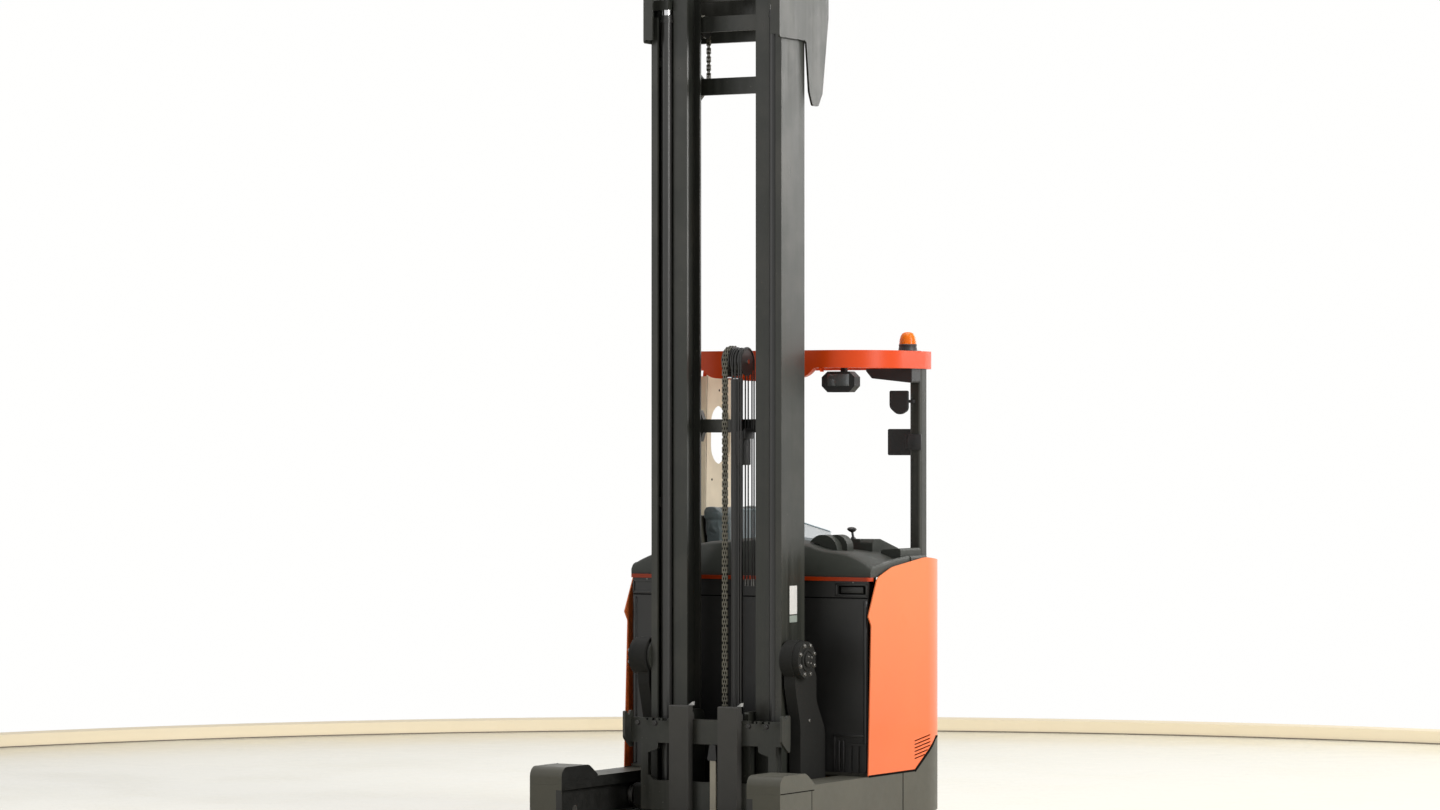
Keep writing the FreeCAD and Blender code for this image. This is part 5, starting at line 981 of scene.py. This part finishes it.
# ---------------- fasteners
class TRUCK_OT_fasteners(bpy.types.Operator):
    """Sets the bolts of every body: pivot rings, wheel nuts, carriage bolts and panel screws"""
    bl_idname = "truck.fasteners"
    bl_label = "Fasteners"

    PIVOT_RING, PIN_RING, LOAD_RING, DRIVE_RING = 0.068, 0.019, 0.048, 0.075    # radii of the bolt circles
    CARRIAGE_BOLTS = (-0.33, -0.24, 0.24, 0.33)

    def execute(self, context):
        size = context.scene.truck_pieces.bolt_across
        self.hub_bolts(size)
        self.screws()
        low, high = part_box("side_shift_frame")
        spots = [(Vector((x, low.y, high.z - 0.05)), (0, -1, 0)) for x in self.CARRIAGE_BOLTS]
        self.sow("carriage_bolts", self.bolt(size, 0.010), spots, "fork_carrier", "black_bolt")
        return {"FINISHED"}

    def bolt(self, across, height, washer=0.0015):
        """A hexagon bolt head on its washer."""
        def build(work):
            turned_shape(work, [(0, 0), (0, across * 0.72), (washer, across * 0.72), (washer, 0)],
                         (0, 0, 0), "Z", 20)
            turned_shape(work, [(0, 0), (0, across / 2 * 1.15), (height * 0.86, across / 2 * 1.15),
                                (height, across / 2 * 0.98), (height, 0)], (0, 0, washer), "Z", 6)
        return mesh_from("bolt_head", build, "bolt_zinc")

    def screw(self, radius):
        """A domed screw head with a round socket."""
        profile = [(0, 0), (0, 1), (0.3, 0.92), (0.5, 0.6), (0.5, 0.42), (0.2, 0.38), (0.2, 0)]
        shape = turned_piece([(radius * up, radius * out) for up, out in profile], (0, 0, 0), "Z", 16)
        return mesh_from("screw_head", shape, "black_bolt")

    def sow(self, name, stamp, spots, body, slot="bolt_zinc"):
        """Sets copies of a stamp on spots, each a place and the way it faces."""
        places = [place for place, way in spots]
        turns = [Vector(way).to_track_quat("Z", "Y").to_euler() for place, way in spots]
        fit_copies(name, stamp, places, slot, body, turns)

    def circle(self, x, middle, radius, count, side, start=0.0):
        """Spots on a circle round an axis along X."""
        turns = [2 * math.pi * i / count + start for i in range(count)]
        return [(Vector((x, middle.y + radius * math.cos(turn), middle.z + radius * math.sin(turn))),
                 (side, 0, 0)) for turn in turns]

    def hub_bolts(self, size):
        """Eight bolts and a pin's four on each tilt pivot, and the nuts of the wheels."""
        face = max(vert.co.x for vert in nodes["reach_frame"].data.vertices
                   if math.hypot(vert.co.y - tilt_pivot.y, vert.co.z - tilt_pivot.z) < 0.12)
        spots = [self.circle(side * face, tilt_pivot, self.PIVOT_RING, 8, side, math.pi / 8)
                 for side in SIDES]
        self.sow("pivot_bolts", self.bolt(size * 0.8, 0.008), sum(spots, []), "reach_carriage")
        cap = face + TRUCK_OT_pivot_hubs.PROFILE[-1][0]
        spots = [self.circle(side * cap, tilt_pivot, self.PIN_RING, 4, side, 0.6) for side in SIDES]
        self.sow("pin_bolts", self.bolt(size * 0.4, 0.004), sum(spots, []), "reach_carriage")
        for side, word in ((1, "right"), (-1, "left")):
            low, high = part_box("load_hub_" + word)
            spots = self.circle((high if side > 0 else low).x, (low + high) / 2, self.LOAD_RING, 6, side)
            self.sow("load_hub_{}_bolts".format(word), self.bolt(size * 0.7, 0.006), spots,
                     "load_wheel_" + word)
        low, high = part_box("drive_hub")
        self.sow("drive_wheel_nuts", self.bolt(size, 0.012),
                 self.circle(low.x, (low + high) / 2, self.DRIVE_RING, 7, -1), "drive_wheel")

    def screws(self):
        """Screws round the battery cover, on the arm covers and in the lip, and the reach rods' pins."""
        low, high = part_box("battery_cover")
        front = low.y
        spots = [(Vector((side * (high.x - 0.018), front, low.z + 0.06 + k * 0.17)), (0, -1, 0))
                 for side in SIDES for k in range(4)]
        low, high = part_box("arm_covers")
        spots += [(Vector((side * (high.x - 0.02), low.y + y, high.z - 0.001)), (0, 0, 1))
                  for side in SIDES for y in (0.10, 0.20)]
        self.sow("panel_screws", self.screw(0.006), spots, "root", "black_bolt")
        spots = [(Vector((side * 0.5355, front, 1.149)), (0, -1, 0)) for side in SIDES]
        self.sow("lip_screws", self.screw(0.005), spots, "root")
        spots = [(Vector((side * 0.405, 0.150, 0.5366)), (side, 0, 0)) for side in SIDES]
        self.sow("reach_pins", self.screw(0.009), spots, "reach_carriage")

# ---------------- small parts
class TRUCK_OT_pivot_hubs(bpy.types.Operator):
    """Turns the cap of each tilt pivot"""
    bl_idname = "truck.pivot_hubs"
    bl_label = "Pivot caps"

    FACE_X = 0.437
    PROFILE = ((-0.002, 0), (-0.002, 0.050), (0.005, 0.049), (0.007, 0.045), (0.007, 0.040), (0.003, 0.038),
               (0.003, 0.032), (0.011, 0.031), (0.013, 0.028), (0.013, 0))

    def execute(self, context):
        def caps(work):
            for side in SIDES:
                turned_shape(work, [(side * out, radius) for out, radius in self.PROFILE],
                             (side * self.FACE_X, *tilt_pivot.yz), "X", 40)
        fit("pivot_caps", caps, "matt_black", "reach_carriage")
        return {"FINISHED"}

class TRUCK_OT_plates(bpy.types.Operator):
    """Sets the blank rating plates on the mast"""
    bl_idname = "truck.plates"
    bl_label = "Blank plates"

    def execute(self, context):
        for name, low, high, slot in (("mast_label", 1.010, 1.137, "label_white"),
                                      ("mast_plate", 0.974, 1.005, "label_grey")):
            fit(name, boxes(((0.3349, 0.092, low), (0.3356, 0.160, high), 0.0003, 1)), slot, "outer_mast")
        return {"FINISHED"}

class TRUCK_OT_controls(bpy.types.Operator):
    """Makes the stop button and the control lever with its boot"""
    bl_idname = "truck.controls"
    bl_label = "Hand controls"

    LEVER = (0.346, 0.655, 1.336)
    LEVER_HEIGHT = 0.054
    LEAN = 0.010

    def execute(self, context):
        def stop(work):
            rounded_box(work, (0.336, 0.573, 1.284), (0.382, 0.607, 1.301), 0.0075, 4)
            turned_shape(work, [(-0.034, 0), (-0.034, 0.012), (0.002, 0.012), (0.002, 0)],
                         (0.362, 0.590, 1.284), "Z", 24)
        fit("stop_cap", stop, "red_button", hide=["hand_controls"])

        def lever(work):
            turned_shape(work, [(0, 0), (0, 0.0125), (0.004, 0.012), (0.007, 0.009), (0.010, 0.006),
                                (0.028, 0.0055), (0.030, 0.0062), (0.0335, 0.0140), (0.039, 0.0195),
                                (0.044, 0.0225), (0.049, 0.0190), (0.053, 0.0110), (self.LEVER_HEIGHT, 0)],
                         self.LEVER)
            for vert in work.verts:
                vert.co.x += self.LEAN * (1.0 - (vert.co.z - self.LEVER[2]) / self.LEVER_HEIGHT)
        fit("control_lever", lever, "black_plastic", hide=["hand_controls"])
        return {"FINISHED"}

class TRUCK_OT_cowl(bpy.types.Operator):
    """Shapes the cowl's skin, crowned over the battery with a raised band beside each panel"""
    bl_idname = "truck.cowl"
    bl_label = "Cowl skin"

    CROWN = ((0.24, 1.323), (0.29, 1.312), (0.33, 1.299), (0.37, 1.290), (0.43, 1.285), (0.487, 1.276),
             (0.53, 1.262), (0.565, 1.247), (0.590, 1.235), (0.600, 1.229))
    BAND = ((0.605, 1.224), (0.616, 1.223), (0.6205, 1.218))
    RIM = ((-0.208, 0.5575, 1.466), (-0.12, 0.543, 1.468), (-0.045, 0.537, 1.468), (0.04, 0.534, 1.446),
           (0.12, 0.536, 1.421), (0.20, 0.545, 1.397), (0.286, 0.5595, 1.371))

    def execute(self, context):
        low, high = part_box("cowl")
        middle = ((0.0, high.z - 0.001), (0.08, high.z - 0.006), (0.16, high.z - 0.014))
        half = [(x, z, 0.0) for x, z in (*middle, *self.CROWN)]
        half += [(x, z, 1.0) for x, z in (*self.BAND, (high.x, 1.205))]
        sections = []
        for x, z, band in [(-x, z, band) for x, z, band in reversed(half[1:])] + half:
            ridge = self.front(z)
            rows = [(low.y, low.z), (low.y, low.z + 0.019), (self.front(z - 0.013), z - 0.013),
                    (ridge + 0.003, z - 0.004), (ridge + 0.014, z)]
            rows += [(y, z + band * self.rise(y)) for y in (0.45, 0.50, 0.55, 0.60, 0.65, high.y)]
            sections.append([(x, y, height) for y, height in (*rows, (high.y, low.z))])
        fit("cowl_skin", lambda work: strip(work, sections), "cowl_plastic", hide=["cowl"], smooth=40)
        # painted reflection: a pale tube along the clear shield's edge stands in for its bright edge
        add_piece("shield_rim", pipe("shield_rim", self.RIM, 0.0035, "shield_edge"), "root", "clear_panel")
        return {"FINISHED"}

    def front(self, height):
        """How far back the leaning front face stands at a height: steep up to a knee, then nearly flat."""
        foot, knee = 1.192, 1.320
        if height < knee:
            return 0.319 + 0.375 * max(0.0, height - foot)
        return 0.367 + 2.26 * (height - knee)

    def rise(self, y):
        """How much the band beside the panel climbs towards the rear."""
        climb, start, length = 0.038, 0.36, 0.34
        return climb * min(1.0, max(0.0, (y - start) / length)) ** 0.75

class TRUCK_OT_panel_gaps(bpy.types.Operator):
    """Puts dark strips of painted shade in the seam under the side panels, behind the vents and in the joints
    of the arms
    """
    bl_idname = "truck.panel_gaps"
    bl_label = "Panel seams"

    BEND_Y, BEND_RADIUS = 0.855, 0.395      # where the panel starts to curve inwards, and how tightly
    STEEP, STEEP_HALF, LEVEL_HALF = (0.728, 0.97), 0.0085, 0.0048
    BACKING = ((0.712, 0.318), (0.772, 0.318), (0.896, 0.393), (0.896, 0.452), (0.712, 0.452))

    def execute(self, context):
        path = [(0.277, 0.2875), (0.725, 0.2875)]
        path += [(0.731 + 0.229 * k / 10, 0.2880 + 0.1370 * k / 10) for k in range(11)]
        path += [(0.960 + 0.0295 * k, 0.4252) for k in range(1, 5)]

        def seams(work):
            for side in SIDES:
                strip(work, [self.section(side, y, z) for y, z in path])
                slab(work, self.BACKING, "X", side * 0.6215, side * 0.6275)
            for low, high in (((0.6346, 0.6045, 0.093), (0.6354, 0.6120, 0.284)),
                              ((0.6346, -0.2530, 0.093), (0.6354, -0.2480, 0.260)),
                              ((0.6346, -0.5330, 0.2598), (0.6354, -0.2280, 0.2645)),
                              ((0.575, 0.346, 1.1505), (0.6215, 0.374, 1.1735))):
                both_sides(work, low, high)
        fit("panel_seams", seams, "dark_gap")
        return {"FINISHED"}

    def section(self, side, y, z):
        """The seam's cross-section, deeper where the panel's edge climbs."""
        face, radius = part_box("side_panel_right")[1].x, self.BEND_RADIUS
        if y >= self.BEND_Y:
            face += math.sqrt(radius ** 2 - (y - self.BEND_Y) ** 2) - radius
        deep = self.STEEP_HALF if self.STEEP[0] < y < self.STEEP[1] else self.LEVEL_HALF
        return [(side * (face + out), y, z + rise) for out, rise in
                ((0.0012, -deep), (0.0012, deep), (-0.0004, deep), (-0.0004, -deep))]

class TRUCK_OT_battery_trim(bpy.types.Operator):
    """Frames the battery cover's hand recesses, beads its edges and closes the lock"""
    bl_idname = "truck.battery_trim"
    bl_label = "Battery cover trim"

    def execute(self, context):
        low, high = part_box("battery_cover")
        face = low.y

        def frames(work):
            for x0, x1, z0, z1 in ((0.446, 0.457, 1.088, 1.144), (0.601, 0.609, 1.088, 1.144),
                                   (0.446, 0.609, 1.137, 1.145), (0.446, 0.609, 1.086, 1.094)):
                both_sides(work, (x0, face - 0.005, z0), (x1, face + 0.002, z1), 0.0015, 2)
            both_sides(work, (0.474, face + 0.002, 1.101), (0.586, face + 0.007, 1.129), 0.002, 2)
            for side in SIDES:
                turned_shape(work, [(0, 0), (0, 0.007), (0.004, 0.0105), (0.760, 0.0105), (0.765, 0.007),
                                    (0.765, 0)], (side * 0.5985, face + 0.003, low.z + 0.004), "Z", 24)
        fit("cover_trim", frames, "cover_black")
        fit("lock_frame", boxes(
            ((0.437, face - 0.006, 0.458), (0.606, face + 0.001, 0.470), 0.0015),
            ((0.437, face - 0.006, 0.302), (0.449, face + 0.001, 0.464), 0.0015),
            ((0.462, face - 0.010, 0.305), (0.474, face, 0.440)),
            ((0.484, face - 0.010, 0.305), (0.496, face, 0.440))), "cover_black")

        # painted shade: a dark line across the cover and dark backs inside the hand recesses
        def lines(work):
            edge = high.x - 0.001
            rounded_box(work, (-edge, face + 0.0022, 1.0764), (edge, face + 0.0028, 1.0818), 0.0002, 1)
            both_sides(work, (0.459, face + 0.0080, 1.096), (0.600, face + 0.0086, 1.134))
        fit("cover_lines", lines, "dark_gap")
        return {"FINISHED"}

class TRUCK_OT_mast_fittings(bpy.types.Operator):
    """Adds the hoses with their clamp and ends, the crossbar's wedges, the rod glands and the fork bar's
    latches and notches"""
    bl_idname = "truck.mast_fittings"
    bl_label = "Mast fittings"

    HOSE_LANES = (0.0625, 0.0775, 0.0965, 0.1075)
    HOSE_END, HOSE_RADIUS = 1.146, 0.0034
    WEDGE = ((0.300, 1.779), (0.214, 1.779), (0.198, 1.826), (0.198, 1.876), (0.216, 1.922), (0.300, 1.922))

    def execute(self, context):
        def clamp(work):
            boxes(((0.060, 0.086, 1.674), (0.100, 0.160, 1.826), 0.004),
                  ((0.103, 0.086, 1.792), (0.112, 0.160, 1.836)),
                  ((0.097, 0.090, 1.794), (0.106, 0.150, 1.834), 0.001, 1))(work)
            studs(work, 0.007, 0.080, 0.086, (1.700, 1.750, 1.800))
        fit("hose_clamp", clamp, "black_plastic", "inner_mast")
        self.hoses()

        def wedges(work):
            for side in SIDES:
                slab(work, [(side * x, z) for x, z in self.WEDGE], "Y", 0.248, 0.277)
        fit("crossbar_wedges", wedges, "mast_paint", "outer_mast")
        low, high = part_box("lift_rods")
        radius, foot = (high.y - low.y) / 2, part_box("lift_cylinders")[1].z

        def glands(work):
            for side in SIDES:
                turned_shape(work, [(up, radius + out) for up, out in
                                    ((0, 0.0008), (0, 0.006), (0.010, 0.006), (0.011, 0.003), (0.030, 0.003),
                                     (0.033, 0.0008))],
                             (side * (high.x - radius), (low.y + high.y) / 2, foot), "Z", 28, True)
        fit("rod_glands", glands, "cylinder_paint", "outer_mast")

        # painted shade: dark slots where the fork bar's notches are
        def notches(work):
            for x in (0.250, 0.281, 0.313):
                both_sides(work, (x - 0.004, -0.0576, 0.529), (x + 0.004, -0.0566, 0.5385))
        fit("bar_notches", notches, "dark_gap", "fork_carrier")

        def latches(work):
            for fork in ("fork_right", "fork_left"):
                edge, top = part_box(fork)[1].x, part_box("fork_right")[1].z
                slab(work, [(edge - 0.024, top), (edge - 0.003, top), (edge - 0.001, top + 0.016),
                            (edge - 0.006, top + 0.013)], "Y", -0.060, -0.040)
        # worn steel latches with a painted glint: their pale colour stands in for the reflection on their
        # metal
        fit("fork_latches", latches, "plate_silver", "fork_carrier")
        return {"FINISHED"}

    def hoses(self):
        """Four hoses over their pulley, with a ferrule on the end of each."""
        runs = [over_pulley("mast_hoses", x, 0.0045, 0.0, self.HOSE_END, 14) for x in self.HOSE_LANES]
        lines = joined("hose_lines", [pipe("hose", run, self.HOSE_RADIUS, "hose_rubber") for run in runs],
                       "hose_rubber")
        add_piece("hose_lines", lines, "free_lift_ram", "hose_rubber", ["mast_hoses"])
        ferrule = mesh_from("ferrule", turned_piece(
            [(0.012, 0), (0.012, 0.0049), (-0.004, 0.0050), (-0.004, 0.0054), (-0.020, 0.0054), (-0.020, 0)],
            (0, 0, 0), "Z", 16), "bolt_zinc")
        ends = [run[-1] + Vector((0.0, 0.0, 0.004)) for run in runs]
        fit_copies("hose_ends", ferrule, ends, "bolt_zinc", "free_lift_ram")

class TRUCK_OT_cabin_fittings(bpy.types.Operator):
    """Adds the steering knob, the post's clamp and the grips on the pedals"""
    bl_idname = "truck.cabin_fittings"
    bl_label = "Cabin fittings"

    KNOB_TURN = 2.4
    PEDAL_Y, PEDAL_Z, PEDAL_STEP = 0.746, 0.464, 0.105
    PEDAL_RUN, PEDAL_CLIMB, PEDAL_TURN = 0.075, 0.085, -0.85
    KNOB = ((0, 0), (0, 0.008), (0.012, 0.007), (0.016, 0.016), (0.028, 0.021), (0.040, 0.019),
            (0.047, 0.010), (0.048, 0))

    def execute(self, context):
        low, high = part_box("steering_wheel")
        rim = (high.x - low.x) / 2 - 0.013
        spot = ((low.x + high.x) / 2 + rim * math.cos(self.KNOB_TURN),
                (low.y + high.y) / 2 + rim * math.sin(self.KNOB_TURN), high.z - 0.004)
        fit("steering_knob", turned_piece(self.KNOB, spot, "Z", 28), "black_plastic")

        def clamp(work):
            boxes(((0.526, 0.864, 1.740), (0.594, 0.874, 1.812)),
                  ((0.498, 0.888, 1.744), (0.534, 0.899, 1.808)))(work)
            studs(work, 0.006, 0.512, 0.888, (1.755, 1.797))
        fit("post_clamp", clamp, "black_plastic")
        low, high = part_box("pedals")
        grip = mesh_from("pedal_grip", boxes(((-0.002, -0.032, -0.001), (0.002, 0.032, 0.003), 0.001, 1)),
                         "black_plastic")
        first = self.PEDAL_Y + (high.y - low.y - 2 * self.PEDAL_STEP) / 2
        spots = [(low.x + self.PEDAL_RUN * share, first + self.PEDAL_STEP * index,
                  self.PEDAL_Z + self.PEDAL_CLIMB * share) for index in range(3) for share in (0.3, 0.5, 0.7)]
        fit_copies("pedal_grips", grip, spots, "black_plastic",
                   turns=[(0.0, self.PEDAL_TURN, 0.0)] * len(spots))
        return {"FINISHED"}

class TRUCK_OT_lining(bpy.types.Operator):
    """Lines the inside of the guard pillar, its window and its front edge, and puts dark discs of painted
    shade where the small holes are
    """
    bl_idname = "truck.lining"
    bl_label = "Pillar lining"

    WINDOW_LOW, WINDOW_HIGH = (0.905, 1.670), (1.090, 1.950)
    CORNER = 0.088

    def execute(self, context):
        low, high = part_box("guard_pillar")
        face = high.x
        window = self.window()
        outer = [(low.y + 0.004, 1.266), (high.y - 0.004, 1.266), (high.y - 0.019, high.z - 0.012),
                 (low.y + 0.024, high.z - 0.012)]
        add_piece("pillar_lining", self.pierced(outer, window, face + 0.0002, face + 0.0030), "root",
                  "beige_lining")

        middle = [(a + b) / 2 for a, b in zip(self.WINDOW_LOW, self.WINDOW_HIGH)]
        start = ((window[0][0] + window[-1][0]) / 2, window[0][1])
        sections = []
        for y, z in (start, *window, start):
            inner = (middle[0] + (y - middle[0]) * 0.982, middle[1] + (z - middle[1]) * 0.988)
            sections.append([(low.x + 0.006, y, z), (face + 0.0028, y, z),
                             (face + 0.0028, *inner), (low.x + 0.006, *inner)])
        fit("window_reveal", lambda work: strip(work, sections), "beige_lining")

        edging = [[(low.x, low.y + back - 0.0014, z), (face + 0.003, low.y + back - 0.0014, z),
                   (face + 0.003, low.y + back + 0.008, z), (low.x, low.y + back + 0.0006, z)]
                  for back, z in ((0, 1.265), (0.0095, 1.62), (0.019, 2.015), (0.0212, 2.085))]
        fit("pillar_edging", lambda work: strip(work, edging), "beige_lining")

        # painted shade: dark discs where the small holes are
        def holes(work):
            for y, z in ((0.985, 2.02), (0.915, 1.60), (0.915, 1.40)):
                turned_shape(work, [(0, 0), (0, 0.006), (0.0008, 0.006), (0.0008, 0)],
                             (face + 0.0026, y, z), "X", 16)
        fit("lining_holes", holes, "dark_gap")
        return {"FINISHED"}

    def window(self):
        """The window's outline, a rectangle with round corners."""
        (left, foot), (right, top), r = self.WINDOW_LOW, self.WINDOW_HIGH, self.CORNER
        corners = ((right - r, foot + r, -90), (right - r, top - r, 0), (left + r, top - r, 90),
                   (left + r, foot + r, 180))
        return [(y + r * math.cos(math.radians(turn)), z + r * math.sin(math.radians(turn)))
                for y, z, start in corners for turn in range(start, start + 91, 15)]

    def pierced(self, outer, hole, near, far):
        """A flat sheet between two places on X, with a hole through it."""
        work = bmesh.new()
        rows = []
        for x in (near, far):
            loops = [[work.verts.new((x, y, z)) for y, z in outline] for outline in (outer, hole)]
            edges = [work.edges.new(pair) for loop in loops for pair in zip(loop, loop[1:] + loop[:1])]
            bmesh.ops.triangle_fill(work, use_beauty=True, edges=edges)
            rows.append(loops)
        for first, second in zip(*rows):
            bridge(work, first, second)
        bmesh.ops.recalc_face_normals(work, faces=work.faces)
        return as_mesh(work, "pillar_lining")

class TRUCK_OT_mirror_and_lamp(bpy.types.Operator):
    """Adds the mirror glass, the work lamp's lens and the terminal's screen"""
    bl_idname = "truck.mirror_and_lamp"
    bl_label = "Mirror and lamp"

    MIRROR = ((0.456, 1.942), (0.468, 1.918), (0.494, 1.903), (0.520, 1.914), (0.533, 1.936), (0.534, 2.000),
              (0.530, 2.005), (0.458, 2.005), (0.454, 2.000))

    def execute(self, context):
        fit("lamp_lens", boxes(((0.330, 0.4525, 2.030), (0.440, 0.4565, 2.085), 0.0018)), "lamp_lens")
        fit("mirror_glass", lambda work: slab(work, self.MIRROR, "Y", 0.8488, 0.8502), "mirror_glass")
        fit("terminal_screen", boxes(((0.414, 0.9046, 1.726), (0.520, 0.9062, 1.828), 0.0006, 1)), "screen")
        return {"FINISHED"}

class TRUCK_OT_floor_mat(bpy.types.Operator):
    """Lays the ribbed mat on the floor plate"""
    bl_idname = "truck.floor_mat"
    bl_label = "Floor mat"

    START, RIBS, SPACING = (0.075, 0.72), 24, 0.013

    def execute(self, context):
        rib = mesh_from("mat_rib", boxes(((0.0, -0.0025, 0.0), (0.30, 0.0025, 0.0022), 0.001, 1)),
                        "black_plastic")
        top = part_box("floor_plate")[1].z
        points = [(self.START[0], self.START[1] + self.SPACING * k, top) for k in range(self.RIBS)]
        fit_copies("floor_ribs", rib, points, "black_plastic")
        return {"FINISHED"}

# ---------------- panel and main
class TRUCK_PT_panel(bpy.types.Panel):
    """Lists the truck's pieces and settings in the sidebar"""
    bl_idname = "TRUCK_PT_panel"
    bl_label = "Reach truck"
    bl_space_type = "VIEW_3D"
    bl_region_type = "UI"
    bl_category = "Reach truck"

    def draw(self, context):
        column = self.layout.column(align=True)
        for step in STEPS:
            column.operator(step.bl_idname)
        for name, group in SETTINGS:
            for key in group.__annotations__:
                self.layout.prop(getattr(context.scene, name), key)

STEPS = (TRUCK_OT_stage, TRUCK_OT_finishes, TRUCK_OT_chains, TRUCK_OT_seat_pads, TRUCK_OT_beacon,
         TRUCK_OT_fasteners, TRUCK_OT_pivot_hubs, TRUCK_OT_plates, TRUCK_OT_controls, TRUCK_OT_cowl,
         TRUCK_OT_panel_gaps, TRUCK_OT_battery_trim, TRUCK_OT_mast_fittings, TRUCK_OT_cabin_fittings,
         TRUCK_OT_lining, TRUCK_OT_mirror_and_lamp, TRUCK_OT_floor_mat)
SETTINGS = (("truck_colours", TruckColours), ("truck_view", TruckView), ("truck_pieces", TruckPieces))

def register():
    for name, group in SETTINGS:
        bpy.utils.register_class(group)
        setattr(bpy.types.Scene, name, bpy.props.PointerProperty(type=group))
    for item in (*STEPS, TRUCK_PT_panel):
        bpy.utils.register_class(item)

def unregister():
    for item in reversed((*STEPS, TRUCK_PT_panel)):
        bpy.utils.unregister_class(item)
    for name, group in reversed(SETTINGS):
        delattr(bpy.types.Scene, name)
        bpy.utils.unregister_class(group)

def main():
    register()
    for step in STEPS:
        getattr(bpy.ops.truck, step.bl_idname.split(".")[1])()

if __name__ == "__main__":
    main()
